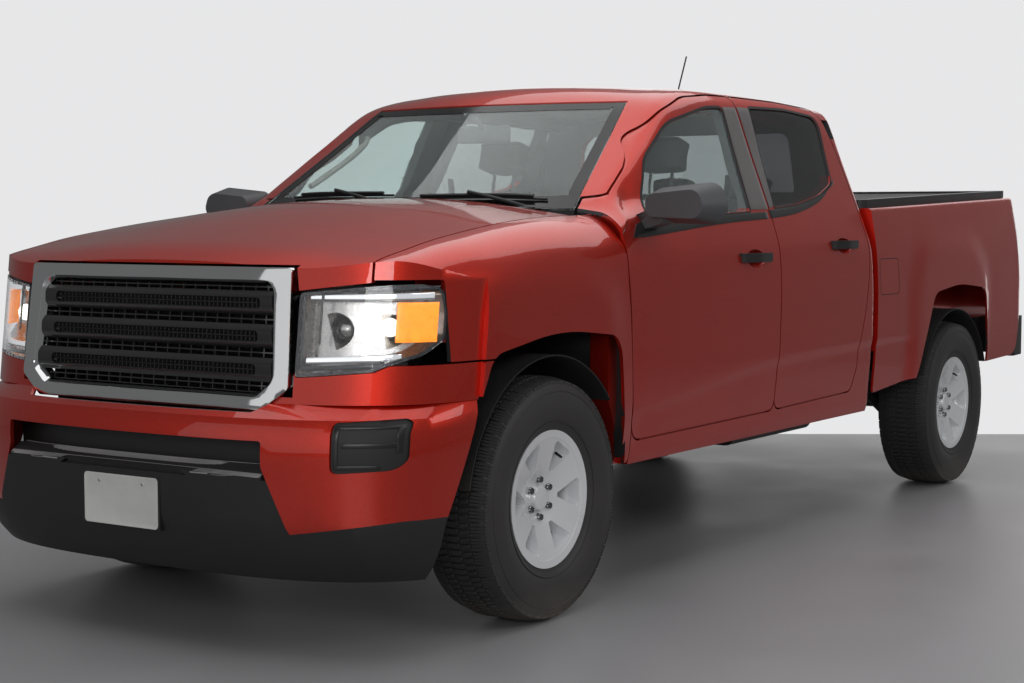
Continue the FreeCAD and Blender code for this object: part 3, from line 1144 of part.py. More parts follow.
def tyre(axle):
    half = TYRE_WIDTH / 2.0
    tread = TREAD_WIDTH / 2.0
    bead = RIM_WIDTH / 2.0 - 7.0
    outline = [
        (-bead, RIM_SEAT_RADIUS + SEAM), (-half, 300), (-tread, TYRE_RADIUS - 9), (-tread + 16, TYRE_RADIUS),
        (tread - 16, TYRE_RADIUS), (tread, TYRE_RADIUS - 9), (half, 300), (bead, RIM_SEAT_RADIUS + SEAM),
    ]
    return revolved(outline, WHEEL_X, axle)


# Spoke windows: distance from the wheel's middle, half width and radius of the tip, half width and radius of the end
WINDOW_BACK = (20.0, 5.0, 102.0, 36.0, 172.0)
WINDOW_FACE = (112.0, 8.0, 86.0, 56.0, 185.0)
WINDOW_ROUND = 12.0


def rim(axle):
    """The wheel: a barrel with bead seats, six flat spokes, a hub and the studs that hold it on."""
    half = RIM_WIDTH / 2.0
    barrel = revolved([
        (-half - 6, RIM_LIP_RADIUS), (-half, RIM_LIP_RADIUS), (-half + 4, RIM_SEAT_RADIUS), (-half + 40, RIM_SEAT_RADIUS),
        (-half + 60, RIM_SEAT_RADIUS - 22), (half - 50, RIM_SEAT_RADIUS - 22), (half - 30, RIM_SEAT_RADIUS),
        (half - 4, RIM_SEAT_RADIUS), (half, RIM_LIP_RADIUS), (half + 6, RIM_LIP_RADIUS),
        (half + 2, RIM_SEAT_RADIUS - RIM_WALL), (half - 54, RIM_SEAT_RADIUS - 22 - RIM_WALL),
        (-half + 58, RIM_SEAT_RADIUS - 22 - RIM_WALL), (-half - 2, RIM_SEAT_RADIUS - RIM_WALL),
    ], WHEEL_X, axle)
    bowl = revolved([
        (26, 0), (26, 86), (40, RIM_SEAT_RADIUS - 26), (half - 30, RIM_SEAT_RADIUS - 2), (half + 2, RIM_SEAT_RADIUS - 4),
        (half - 3, RIM_SEAT_RADIUS - 22), (half - 26, 96), (half - 44, 46), (half - 44, 0),
    ], WHEEL_X, axle)
    windows = []
    for i in range(SPOKES):
        turn = 360.0 * (i + 0.5) / SPOKES
        wires = []
        for x, half_tip, tip, half_end, end in (WINDOW_BACK, WINDOW_FACE):
            outline = [(-half_tip, tip), (-half_end, end, WINDOW_ROUND), (half_end, end, WINDOW_ROUND), (half_tip, tip)]
            wires.append(rounded_wire(outline, lambda a, r: Vec(WHEEL_X + x, axle + a, TYRE_RADIUS + r)))
        window = Part.makeLoft(wires, True, True)
        window.rotate(Vec(WHEEL_X, axle, TYRE_RADIUS), Vec(1, 0, 0), turn)
        windows.append(window)
    bowl = bowl.cut(Part.makeCompound(windows))
    wheel = barrel.fuse(bowl)
    cap = revolved([(half - 50, 0), (half - 50, HUB_RADIUS), (half - 28, HUB_RADIUS - 3, 4), (half - 26, 0)], WHEEL_X, axle)
    pieces = [cap]
    for i in range(6):
        turn = math.radians(60.0 * i)
        y = axle + STUD_CIRCLE_RADIUS * math.sin(turn)
        z = TYRE_RADIUS + STUD_CIRCLE_RADIUS * math.cos(turn)
        pieces.append(Part.makeCylinder(STUD_RADIUS, half - 30 - 26, Vec(WHEEL_X + 26, y, z), Vec(1, 0, 0)))
    disc = revolved([
        (-34, SPINDLE_RADIUS + SEAM), (-34, DISC_RADIUS), (-34 + DISC_THICKNESS, DISC_RADIUS), (-34 + DISC_THICKNESS, 84),
        (26, 80), (26, SPINDLE_RADIUS + SEAM),
    ], WHEEL_X, axle)
    pieces.append(disc)
    return wheel.multiFuse(pieces).removeSplitter()


rims = {"front": rim(AXLE_FRONT), "rear": rim(AXLE_REAR)}
tyres = {"front": tyre(AXLE_FRONT), "rear": tyre(AXLE_REAR)}

# Front suspension: sub-frame, lower and upper arms, and spring struts
KING_X = 700.0
KING_LOW = 262.0
KING_HIGH = 520.0


def arm(inner_x, inner_half, z_in, z_out, thick):
    """An A-shaped arm from two frame bushes to its ball joint."""
    plan = [(KING_X - 14, -24, 20), (inner_x, -inner_half, 14), (inner_x, -inner_half + 60, 10), (KING_X - 120, 0, 30), (inner_x, inner_half - 60, 10), (inner_x, inner_half, 14), (KING_X - 14, 24, 20)]
    plate = prism_z(plan, -thick / 2, thick / 2)
    reach = KING_X - inner_x
    tilt = math.degrees(math.atan2(z_out - z_in, reach))
    plate.rotate(Vec(inner_x, AXLE_FRONT, 0), Vec(0, 1, 0), -tilt)
    plate.translate(Vec(0, 0, z_in))
    bush = rod(at(inner_x, -inner_half - 12, z_in), at(inner_x, inner_half + 12, z_in), 24)
    return plate.fuse(bush)


LOWER_BUSH_X = 454.0
UPPER_BUSH_X = 470.0
LOWER_BUSH_Z = 296.0
TOWER_X = FRONT_RAIL_X + RAIL_WIDTH
lower_arm = arm(LOWER_BUSH_X, 150, LOWER_BUSH_Z, KING_LOW - 26, 36)
upper_arm = arm(UPPER_BUSH_X, 110, 600, KING_HIGH + 26, 24)
lower_ball = rod(at(KING_X, 0, KING_LOW - 30), at(KING_X, 0, KING_LOW - SEAM), 20)
upper_ball = rod(at(KING_X, 0, KING_HIGH + SEAM), at(KING_X, 0, KING_HIGH + 34), 20)
strut = rod(at(566, 40, 290), at(476, 40, 700), 24)
spring = tube(at(550, 40, 372), at(485, 40, 664), 58, 44)
cross = box(-440, 440, -180, 80, 250, 312).cut(box(-300, 300, -200, -90, 200, 400))
bush_mount = box(420, 446, -170, 168, 262, 312)
tower = box(TOWER_X, TOWER_X + 18, -130, 96, 262, 706)
tower_top = box(TOWER_X, 510, -10, 90, 690, 706)
RACK_Y = 128.0
RACK_Z = 336.0
RACK_RADIUS = 11.0
rack_housing = box(-180, 180, 60, RACK_Y + 24, 250, RACK_Z + 24)
rack_housing = rack_housing.cut(rod(at(-200, RACK_Y, RACK_Z), at(200, RACK_Y, RACK_Z), RACK_RADIUS + SEAM))
suspension_half = [lower_arm, upper_arm, lower_ball, upper_ball, strut, spring, bush_mount, tower, tower_top]
front_suspension = fused(cross, rack_housing, *(suspension_half + [mirrored(p) for p in suspension_half]))
front_suspension = solid_of(front_suspension.cut(both(front_rail)))

# Knuckle: carries the hub and the brake caliper, and turns about the upright kingpin
knuckle_body = rod(at(KING_X, 0, KING_LOW), at(KING_X, 0, KING_HIGH), 26)
hub_carrier = rod(at(KING_X - 24, 0, TYRE_RADIUS), at(WHEEL_X - 36, 0, TYRE_RADIUS), 58)
spindle = rod(at(KING_X, 0, TYRE_RADIUS), Vec(SPINDLE_END, AXLE_FRONT, TYRE_RADIUS), SPINDLE_RADIUS)
caliper = revolved([
    (-56, 96), (-56, DISC_RADIUS + 14), (14, DISC_RADIUS + 14), (14, 112), (-4, 112), (-4, DISC_RADIUS + 4),
    (-38, DISC_RADIUS + 4), (-38, 96),
], WHEEL_X, AXLE_FRONT)
caliper = caliper.common(box(600, 900, -220, -60, 330, 446))
caliper_arm = box(KING_X - 14, WHEEL_X - 38, -112, -20, 360, 416)
TIE_ARM_LOW = RACK_Z + 16.0
TIE_ROD_X = KING_X - 45.0
steer_arm = prism_z([(KING_X - 22, 0, 6), (TIE_ROD_X - 21, RACK_Y + 16, 18), (TIE_ROD_X + 21, RACK_Y + 16, 18), (KING_X + 20, 0, 6)], TIE_ARM_LOW, TIE_ARM_LOW + 20)
knuckle = solid_of(fused(knuckle_body, hub_carrier, spindle, caliper, caliper_arm, steer_arm))

# Steering linkage: the rack bar with a tie rod to each steering arm
rack = rod(at(-TIE_ROD_X, RACK_Y, RACK_Z), at(TIE_ROD_X, RACK_Y, RACK_Z), RACK_RADIUS)
ends = both(rod(at(TIE_ROD_X, RACK_Y, RACK_Z - 16), at(TIE_ROD_X, RACK_Y, TIE_ARM_LOW - SEAM), 16))
boots = both(Part.makeCone(22, 14, 120, at(280, RACK_Y, RACK_Z), Vec(1, 0, 0)))
steering_linkage = fused(rack, *(ends.Solids + boots.Solids))

# Rear axle with its leaf springs and dampers
axle_tube = rod(at(-WHEEL_X + 40, WHEELBASE, TYRE_RADIUS), at(WHEEL_X - 40, WHEELBASE, TYRE_RADIUS), 40)
stub = rod(Vec(-SPINDLE_END, AXLE_REAR, TYRE_RADIUS), Vec(SPINDLE_END, AXLE_REAR, TYRE_RADIUS), SPINDLE_RADIUS)
diff = Part.makeSphere(128, at(60, WHEELBASE, TYRE_RADIUS)).fuse(Part.makeCone(60, 44, 170, at(60, WHEELBASE - 90, TYRE_RADIUS), Vec(0, -1, 0)))
SPRING_X = 512.0
spring_side = [
    (WHEELBASE - 640, 560), (WHEELBASE - 640, 528, 10), (WHEELBASE - 200, 440, 400), (WHEELBASE + 200, 440, 400), (WHEELBASE + 660, 528, 10), (WHEELBASE + 660, 560),
    (WHEELBASE + 640, 560), (WHEELBASE + 200, 474, 400), (WHEELBASE - 200, 474, 400), (WHEELBASE - 620, 560),
]
leaf = prism_x(spring_side, SPRING_X, SPRING_X + 60)
leaf_pack = prism_x([(WHEELBASE - 300, 452), (WHEELBASE - 200, 424, 60), (WHEELBASE + 200, 424, 60), (WHEELBASE + 300, 452)], SPRING_X, SPRING_X + 60)
perch = box(SPRING_X - 8, SPRING_X + 68, WHEELBASE - 60, WHEELBASE + 60, TYRE_RADIUS + 20, 484)
shackle_front = box(MAIN_RAIL_X + RAIL_WIDTH - 2, SPRING_X + 70, WHEELBASE - 668, WHEELBASE - 610, 520, 590)
shackle_rear = box(MAIN_RAIL_X + RAIL_WIDTH - 2, SPRING_X + 70, WHEELBASE + 618, WHEELBASE + 676, 520, 610)
damper = rod(at(560, WHEELBASE - 50, 350), at(470, WHEELBASE - 380, 590), 28)
rear_disc_backing = rod(at(WHEEL_X - 60, WHEELBASE, TYRE_RADIUS), at(WHEEL_X - 38, WHEELBASE, TYRE_RADIUS), 64)
rear_half = [leaf, leaf_pack, perch, shackle_front, shackle_rear, damper, rear_disc_backing]
rear_axle = fused(axle_tube, stub, diff, *(rear_half + [mirrored(p) for p in rear_half]))
rear_axle = rear_axle.cut(frame)
rear_axle = solid_of(rear_axle)

# Engine block with the gearbox, and the propeller shaft
engine = prism_x([(-430, 560, 20), (-450, 900, 60), (-420, 1040, 60), (180, 1040, 60), (230, 780, 60), (190, 520, 40), (-380, 470, 60)], -230, 230)
gearbox = Part.makeCone(150, 92, 760, at(0, 180, 610), Vec(0, 1, -0.11))
shaft_start = at(0, 935, 527)
shaft_end = at(60, WHEELBASE - 262, TYRE_RADIUS)
propshaft = rod(shaft_start, shaft_end, 38)
powertrain = fused(engine, gearbox, propshaft).cut(frame).cut(front_suspension).cut(floor_pan).cut(rear_axle)
powertrain = solid_of(powertrain)

# Exhaust along the right side, and the fuel tank on the left
EXHAUST_RADIUS = 28.0
MUFFLER_Z = 365.0
exhaust_points = [
    at(-200, 120, 560), at(-262, 420, 470), at(-300, 700, MUFFLER_Z), at(-320, 1000, MUFFLER_Z), at(-320, 1900, MUFFLER_Z),
    at(-340, 2700, MUFFLER_Z + 30), at(-366, 3180, 500), at(-372, 3420, 524), at(-384, 3760, 500), at(-404, 4120, 474),
    at(-430, 4230, 462), at(-600, 4330, 455), at(-700, 4400, 450),
]
exhaust_pieces = [rod(a, b, EXHAUST_RADIUS) for a, b in zip(exhaust_points, exhaust_points[1:])]
exhaust_pieces += [Part.makeSphere(EXHAUST_RADIUS, p) for p in exhaust_points[1:-1]]
muffler = prism_y([(-425, MUFFLER_Z - 60, 50), (-425, MUFFLER_Z + 60, 50), (-215, MUFFLER_Z + 60, 50), (-215, MUFFLER_Z - 60, 50)], 1060, 1720)
exhaust = solid_of(muffler.multiFuse(exhaust_pieces).cut(powertrain))
TANK_LOW = 374.0
TANK_TOP = 540.0
TANK_INNER_X = 522.0
TANK_OUTER_X = 730.0
TANK_FRONT = 1600.0
TANK_BACK = 2320.0
TANK_ROUND = 40.0
tank = prism_y([
    (TANK_INNER_X, TANK_LOW, TANK_ROUND), (TANK_INNER_X, TANK_TOP, TANK_ROUND),
    (TANK_OUTER_X, TANK_TOP, TANK_ROUND), (TANK_OUTER_X, TANK_LOW, TANK_ROUND),
], TANK_FRONT, TANK_BACK)
tank_hangers = [box(MAIN_RAIL_X + RAIL_WIDTH, 560, y, y + 60, 430, 480) for y in (TANK_FRONT + 100, TANK_BACK - 160)]
fuel_tank = solid_of(fused(tank, *tank_hangers))

# Spare wheel under the bed
spare_axis = at(0, 4200, 500)
SPARE_HALF = 105.0
spare = Part.makeCylinder(370, 2 * SPARE_HALF, spare_axis - Vec(0, 0, SPARE_HALF), Vec(0, 0, 1))
spare = spare.makeFillet(40, [e for e in spare.Edges if e.Length > 2000 and abs(e.BoundBox.ZLength) < 1])
spare = spare.cut(Part.makeCylinder(190, 90, spare_axis - Vec(0, 0, SPARE_HALF + 10), Vec(0, 0, 1)))
spare = spare.fuse(rod(spare_axis, at(0, 4095, 0) + Vec(0, 105, 612), 24))
spare_wheel = solid_of(spare)

# Wheel arch liners and rear mud flaps
front_liner = Part.makeCylinder(LOCK_RADIUS + LINER, 396, at(510, 0, TYRE_RADIUS), Vec(1, 0, 0))
front_liner = front_liner.cut(front_lock).cut(box(300, FAR, -800, 800, -100, 470))
front_liner = front_liner.cut(box(300, FAR, 300, 800, 400, 1300).common(cab_skin.cut(cab_inside)))
rear_liner = Part.makeCylinder(REAR_LOCK + LINER, 310, at(600, WHEELBASE, TYRE_RADIUS), Vec(1, 0, 0))
rear_liner = rear_liner.cut(rear_room).cut(box(300, FAR, 2800, 4400, -100, 560))
rear_flap = box(690, 868, WHEELBASE + 452, WHEELBASE + 458, 330, 600)
liners = [solid_of(front_liner), solid_of(rear_liner.fuse(rear_flap))]

# Interior: dash, seats
dash_side = [
    (400, 860, 60), (400, 1190, 10), (560, 1236, 80), (800, 1216, 60), (850, 1130, 40), (770, 1030, 60), (790, 900, 40), (700, 800, 40), (560, 780, 40),
]
dashboard = prism_x(dash_side, -740, 740)
knee_room = prism_x([(380, 600), (380, 960), (640, 1010, 60), (760, 960, 40), (820, 600)], 150, 720)
dashboard = dashboard.cut(both(knee_room))
console = prism_z([(-130, 760, 30), (-130, 1560, 40), (130, 1560, 40), (130, 760, 30)], 760, 900)
console_side = prism_x([(700, 760), (700, 980, 40), (900, 900, 60), (1200, 880, 60), (1560, 900, 30), (1560, 760)], -130, 130)
dashboard = fused(dashboard, console.common(console_side))
binnacle = prism_y([(230, 1190, 30), (260, 1276, 60), (500, 1276, 60), (530, 1190, 30)], 600, 800)
dashboard = solid_of(dashboard.fuse(binnacle).common(cab_inside))


def seat(x, y, base):
    """A front seat: a cushion on a pedestal, a leaning back and a head restraint on two posts."""
    cushion = prism_y([(x - 250, base + 130, 40), (x - 240, base + 270, 60), (x + 240, base + 270, 60), (x + 250, base + 130, 40)], y, y + 500)
    back_wire = prism_x([(y + 400, base + 200, 50), (y + 470, base + 150, 50), (y + 600, base + 190, 50), (y + 700, base + 800, 60), (y + 560, base + 820, 60)], x - 235, x + 235)
    rest = prism_x([(y + 570, base + 860, 40), (y + 580, base + 1010, 38), (y + 670, base + 1010, 38), (y + 690, base + 860, 30)], x - 120, x + 120)
    posts = [rod(Vec(x + d, st(y + 630), base + 780), Vec(x + d, st(y + 630), base + 880), 8) for d in (-50, 50)]
    pedestal = box(x - 200, x + 200, y + 60, y + 440, base, base + 140)
    return fused(cushion, back_wire, rest, pedestal, *posts)


SEAT_X = 380.0
front_seats = both(solid_of(seat(SEAT_X, 1010, FLOOR_Z + 12)))
REAR_BASE = FLOOR_Z + 102
rear_cushion = prism_y([(-640, REAR_BASE, 30), (-640, REAR_BASE + 190, 50), (640, REAR_BASE + 190, 50), (640, REAR_BASE, 30)], 1880, 2300)
rear_cushion = rear_cushion.common(prism_x([(1960, REAR_BASE), (1850, REAR_BASE + 80, 40), (1850, REAR_BASE + 190, 50), (2320, REAR_BASE + 170), (2320, REAR_BASE)], -700, 700))
rear_back = prism_x([(2270, REAR_BASE + 120, 40), (2400, REAR_BASE + 110, 40), (2478, REAR_BASE + 640, 50), (2370, REAR_BASE + 650, 50)], -640, 640)
rests = []
for x in (-380, 0, 380):
    rests.append(prism_x([(2376, REAR_BASE + 660, 30), (2390, REAR_BASE + 780, 40), (2460, REAR_BASE + 780, 40), (2470, REAR_BASE + 640, 20)], x - 110, x + 110))
rear_seat = solid_of(fused(rear_cushion, rear_back, *rests).cut(rear_panel))

# Steering wheel on its column
WHEEL_CENTRE = at(SEAT_X, 905, 1105)
COLUMN_TILT = math.radians(24.0)
column_axis = Vec(0, math.cos(COLUMN_TILT), math.sin(COLUMN_TILT))
ring = Part.makeTorus(182, 15, WHEEL_CENTRE, column_axis)
hub = rod(WHEEL_CENTRE - column_axis * 46, WHEEL_CENTRE + column_axis * 6, 56)
spoke = rod(WHEEL_CENTRE - column_axis * 16 - Vec(176, 0, 0), WHEEL_CENTRE - column_axis * 16 + Vec(176, 0, 0), 12)
down = column_axis.cross(Vec(1, 0, 0))
low_spoke = rod(WHEEL_CENTRE - column_axis * 16, WHEEL_CENTRE - column_axis * 8 + down * (-176 if down.z > 0 else 176), 12)
column = rod(WHEEL_CENTRE - column_axis * 170, WHEEL_CENTRE - column_axis * 40, 22)
steering_wheel = solid_of(fused(ring, hub, spoke, low_spoke, column))
column_room = rod(WHEEL_CENTRE - column_axis * (170 + SEAM), WHEEL_CENTRE - column_axis * 20, 22 + SEAM)
hub_room = rod(WHEEL_CENTRE - column_axis * 54, WHEEL_CENTRE + column_axis * 60, 64)
dashboard = solid_of(dashboard.cut(column_room).cut(hub_room).cut(Part.makeTorus(182, 22, WHEEL_CENTRE, column_axis)))

# Mirrors on the front doors, and the roof mast
mirror_head_front = rounded_wire([(872, 1256, 40), (866, 1372, 44), (1132, 1396, 60), (1166, 1300, 50), (1120, 1250, 50)], lambda x, z: at(x, 700, z))
mirror_head_back = rounded_wire([(902, 1276, 30), (898, 1352, 34), (1100, 1370, 44), (1124, 1300, 36), (1090, 1270, 34)], lambda x, z: at(x, 590, z))
mirror_head = Part.makeLoft([mirror_head_front, mirror_head_back], True, True)
mirror_foot = prism_y([(800, 1218, 10), (800, 1262, 10), (900, 1300, 20), (960, 1290, 10), (960, 1256, 20), (880, 1232, 20)], 606, 690)
mirror = solid_of(fused(mirror_head, mirror_foot).cut(cab_skin))
MAST_FOOT = at(0, 2420, CAB_TOP(2420))
mast = rod(MAST_FOOT - Vec(0, 0, 2), MAST_FOOT + Vec(0, 110, 226), 3.5)
mast = mast.fuse(Part.makeCone(24, 9, 26, MAST_FOOT - Vec(0, 0, 3), Vec(0, 0.2, 1)))
antenna = solid_of(mast.cut(cab_skin))

one_sided = {
    "body_side": body_side,
    "fender": fender,
    "bed_side": bed_side,
    "door_front": door_front,
    "door_rear": door_rear,
    "glass_front": glass_front,
    "glass_rear": glass_rear,
    "mirror": mirror,
    "knuckle": knuckle,
    "tyre_front": tyres["front"],
    "tyre_rear": tyres["rear"],
    "wheel_front": rims["front"],
    "wheel_rear": rims["rear"],
}
whole = {
    "roof": roof,
    "cowl": cowl,
    "windshield": windshield,
    "rear_panel": rear_panel,
    "rear_window": rear_window,
    "hood": hood,
    "headlamps": both(headlamp),
    "headlamp_lenses": both(lamp_lens),
    "grille_surround": grille_surround,
    "grille_insert": grille_insert,
    "bumper_front": bumper_front,
    "bumper_lower": bumper_lower,
    "lamp_bezels": both(bezel),
    "radiator_support": radiator_support,
    "bed_floor": bed_floor,
    "tail_lamps": both(tail_lamp),
    "tailgate": tailgate,
    "tonneau": tonneau,
    "bumper_rear": bumper_rear,
    "frame": frame,
    "floor_pan": floor_pan,
    "front_suspension": front_suspension,
    "steering_linkage": steering_linkage,
    "rear_axle": rear_axle,
    "powertrain": powertrain,
    "exhaust": exhaust,
    "fuel_tank": fuel_tank,
    "spare_wheel": spare_wheel,
    "wheel_liners": Part.makeCompound(liners + [mirrored(p) for p in liners]),
    "dashboard": dashboard,
    "front_seats": front_seats,
    "rear_seat": rear_seat,
    "steering_wheel": steering_wheel,
    "antenna": antenna,
}

os.makedirs("parts", exist_ok=True)
for name, shape in one_sided.items():
    export(name + "_left", shape)
    export(name + "_right", mirrored(shape))
for name, shape in whole.items():
    export(name, shape)
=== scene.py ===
import json
import math

import bpy
import numpy as np
from mathutils import Matrix, Vector
from mathutils.bvhtree import BVHTree

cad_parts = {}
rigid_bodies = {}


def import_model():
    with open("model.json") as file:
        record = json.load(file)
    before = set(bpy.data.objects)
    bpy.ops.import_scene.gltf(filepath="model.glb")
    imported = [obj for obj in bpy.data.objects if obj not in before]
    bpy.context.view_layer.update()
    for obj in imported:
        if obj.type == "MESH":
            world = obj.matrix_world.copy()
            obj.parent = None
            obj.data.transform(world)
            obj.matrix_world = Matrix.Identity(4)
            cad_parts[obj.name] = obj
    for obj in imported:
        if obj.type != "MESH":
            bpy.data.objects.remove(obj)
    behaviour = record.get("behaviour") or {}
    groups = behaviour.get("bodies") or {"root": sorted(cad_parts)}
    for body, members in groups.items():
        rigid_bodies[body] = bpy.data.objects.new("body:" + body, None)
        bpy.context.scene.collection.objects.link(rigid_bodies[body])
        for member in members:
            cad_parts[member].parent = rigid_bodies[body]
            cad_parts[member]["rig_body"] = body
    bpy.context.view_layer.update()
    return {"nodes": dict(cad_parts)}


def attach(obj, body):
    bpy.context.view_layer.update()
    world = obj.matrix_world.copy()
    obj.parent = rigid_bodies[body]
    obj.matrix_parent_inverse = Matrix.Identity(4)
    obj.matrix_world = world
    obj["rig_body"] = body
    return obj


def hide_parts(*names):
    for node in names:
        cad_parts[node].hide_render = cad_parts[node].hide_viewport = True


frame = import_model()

bl_info = {
    "name": "Pickup truck dressing",
    "version": (1, 0, 0),
    "blender": (4, 5, 0),
    "location": "View3D > Sidebar > Pickup",
    "description": "Dresses the packed pickup truck with its finishes, trim, tyres, lamps and seats",
    "category": "Object",
}

SIDES = (("left", 1.0), ("right", -1.0))
FRONT_AXLE = 1885.0
REAR_AXLE = FRONT_AXLE - 3568.0
WHEEL_X = 792.5
WHEEL_Z = 388.0
WELD = 0.00002


def at(x, station, z):
    """A point in metres from millimetres and a station behind the front axle."""
    return Vector((x / 1000.0, (station - FRONT_AXLE) / 1000.0, z / 1000.0))


# Sizes and colours that a user would change

class TruckColours(bpy.types.PropertyGroup):
    paint: bpy.props.FloatVectorProperty(
        name="Paint", description="Base colour of the metallic paint", subtype="COLOR", size=3, min=0, max=1,
        default=(0.52, 0.012, 0.004))
    flake: bpy.props.FloatVectorProperty(
        name="Flake", description="Colour of the bright flakes in the paint",
        subtype="COLOR", size=3, min=0, max=1, default=(1.0, 0.065, 0.016))
    cloth: bpy.props.FloatVectorProperty(
        name="Seat cloth", description="Colour of the seats' woven cloth",
        subtype="COLOR", size=3, min=0, max=1, default=(0.045, 0.048, 0.052))
    trim: bpy.props.FloatVectorProperty(
        name="Cabin trim", description="Colour of the moulded cabin trim",
        subtype="COLOR", size=3, min=0, max=1, default=(0.06, 0.062, 0.068))
    alloy: bpy.props.FloatVectorProperty(
        name="Wheel silver", description="Colour of the painted alloy wheels",
        subtype="COLOR", size=3, min=0, max=1, default=(0.84, 0.85, 0.87))
    floor: bpy.props.FloatVectorProperty(
        name="Studio floor", description="Colour of the studio floor", subtype="COLOR", size=3, min=0, max=1,
        default=(0.30, 0.30, 0.31))
    wall: bpy.props.FloatVectorProperty(
        name="Studio wall", description="Colour behind the truck", subtype="COLOR", size=3, min=0, max=1,
        default=(0.80, 0.80, 0.81))


class TruckSizes(bpy.types.PropertyGroup):
    tread_depth: bpy.props.FloatProperty(
        name="Tread depth", description="Height of the tread blocks", default=0.0085, unit="LENGTH")
    tread_pitches: bpy.props.IntProperty(
        name="Tread pitches", description="Number of times the tread pattern repeats round a tyre",
        default=52)
    lug_radius: bpy.props.FloatProperty(
        name="Lug nut radius", description="Radius of a wheel nut", default=0.0125, unit="LENGTH")
    strip_thickness: bpy.props.FloatProperty(
        name="Strip thickness", description="Thickness of the belt strips and pillar plates",
        default=0.003, unit="LENGTH")
    seam_width: bpy.props.FloatProperty(
        name="Seat piping width", description="Width of the sewn piping on the seats",
        default=0.006, unit="LENGTH")


class TruckStudio(bpy.types.PropertyGroup):
    lens: bpy.props.FloatProperty(
        name="Lens", description="Focal length on a 36 mm frame", default=63.55, unit="CAMERA")
    camera_height: bpy.props.FloatProperty(
        name="Camera height", description="Height of the camera over the floor", default=1.275, unit="LENGTH")
    overhead: bpy.props.FloatProperty(
        name="Overhead light", description="Power of the large overhead lamp", default=200.0, unit="POWER")
    side: bpy.props.FloatProperty(
        name="Side light", description="Power of the lamps at the sides", default=110.0, unit="POWER")
    back: bpy.props.FloatProperty(
        name="Wall light", description="Power of the bright walls before and behind the truck",
        default=130.0, unit="POWER")
    ambient: bpy.props.FloatProperty(
        name="Room light", description="Strength of the light from all round", default=0.26)
    mirrored: bpy.props.FloatProperty(
        name="Mirrored room", description="Strength of the room that shiny surfaces mirror", default=0.14)


# Selection and shaping helpers

def pick(*objects):
    """Leaves only these objects selected, the last one active, in object mode."""
    if bpy.context.mode != "OBJECT":
        bpy.ops.object.mode_set(mode="OBJECT")
    bpy.ops.object.select_all(action="DESELECT")
    for obj in objects:
        obj.select_set(True)
    bpy.context.view_layer.objects.active = objects[-1]


def open_mesh(obj, select=True):
    """Enters edit mode on one object with all or nothing of it selected."""
    pick(obj)
    bpy.ops.object.mode_set(mode="EDIT")
    bpy.ops.mesh.select_mode(type="FACE")
    bpy.ops.mesh.select_all(action="SELECT" if select else "DESELECT")


def close_mesh():
    bpy.ops.object.mode_set(mode="OBJECT")


def tidy_mesh(obj, distance=0.00005):
    """Merges doubles and turns all faces outwards."""
    open_mesh(obj)
    bpy.ops.mesh.remove_doubles(threshold=distance)
    bpy.ops.mesh.normals_make_consistent(inside=False)
    close_mesh()


def apply_modifier(obj, kind, **values):
    """Adds a modifier with its values and applies it."""
    pick(obj)
    modifier = obj.modifiers.new(kind.title(), kind)
    for key, value in values.items():
        setattr(modifier, key, value)
    bpy.ops.object.modifier_apply(modifier=modifier.name)


def rounded(obj, width, segments=2, angle=30.0):
    apply_modifier(obj, "BEVEL", width=width, segments=segments, limit_method="ANGLE",
                   angle_limit=math.radians(angle), harden_normals=False)


def thicken(obj, thickness, offset=-1.0):
    apply_modifier(obj, "SOLIDIFY", thickness=thickness, offset=offset)


def joined(objects):
    pick(*objects)
    if len(objects) > 1:
        bpy.ops.object.join()
    return bpy.context.view_layer.objects.active


def duplicate(obj, matrix=None):
    """A copy with its own mesh, moved by a matrix; a turned-over copy gets its faces put right."""
    copy = bpy.data.objects.new(obj.name, obj.data.copy())
    bpy.context.scene.collection.objects.link(copy)
    if matrix is not None:
        copy.data.transform(matrix)
        if matrix.determinant() < 0:
            copy.data.flip_normals()
    return copy


MIRROR = Matrix.Scale(-1.0, 4, (1, 0, 0))


def place_points(obj, points):
    """Moves the vertices of a fresh primitive to the given points, in order."""
    flat = np.array([c for p in points for c in p], dtype=np.float32)
    obj.data.vertices.foreach_set("co", flat)
    obj.data.update()


def plate(points, depth, bevel=0.0, segments=2):
    """A closed outline of 3-D points, filled and extruded by a vector."""
    bpy.ops.mesh.primitive_circle_add(vertices=len(points), radius=1.0, fill_type="NGON")
    obj = bpy.context.active_object
    place_points(obj, points)
    open_mesh(obj)
    bpy.ops.mesh.extrude_region_move(TRANSFORM_OT_translate={"value": tuple(depth)})
    bpy.ops.mesh.select_all(action="SELECT")
    bpy.ops.mesh.normals_make_consistent(inside=False)
    close_mesh()
    if bevel:
        rounded(obj, bevel, segments)
    return obj


def sheet_grid(rows):
    """A surface through rows of points, as a subdivided plane whose vertices are set in place."""
    count = len(rows[0])
    bpy.ops.mesh.primitive_grid_add(x_subdivisions=count - 1, y_subdivisions=len(rows) - 1, size=2.0)
    obj = bpy.context.active_object
    co = np.array([v.co for v in obj.data.vertices])
    order = np.lexsort((np.round(co[:, 0], 5), np.round(co[:, 1], 5)))
    target = [None] * len(co)
    flat = [p for row in rows for p in row]
    for index, point in zip(order, flat):
        target[index] = point
    place_points(obj, target)
    return obj


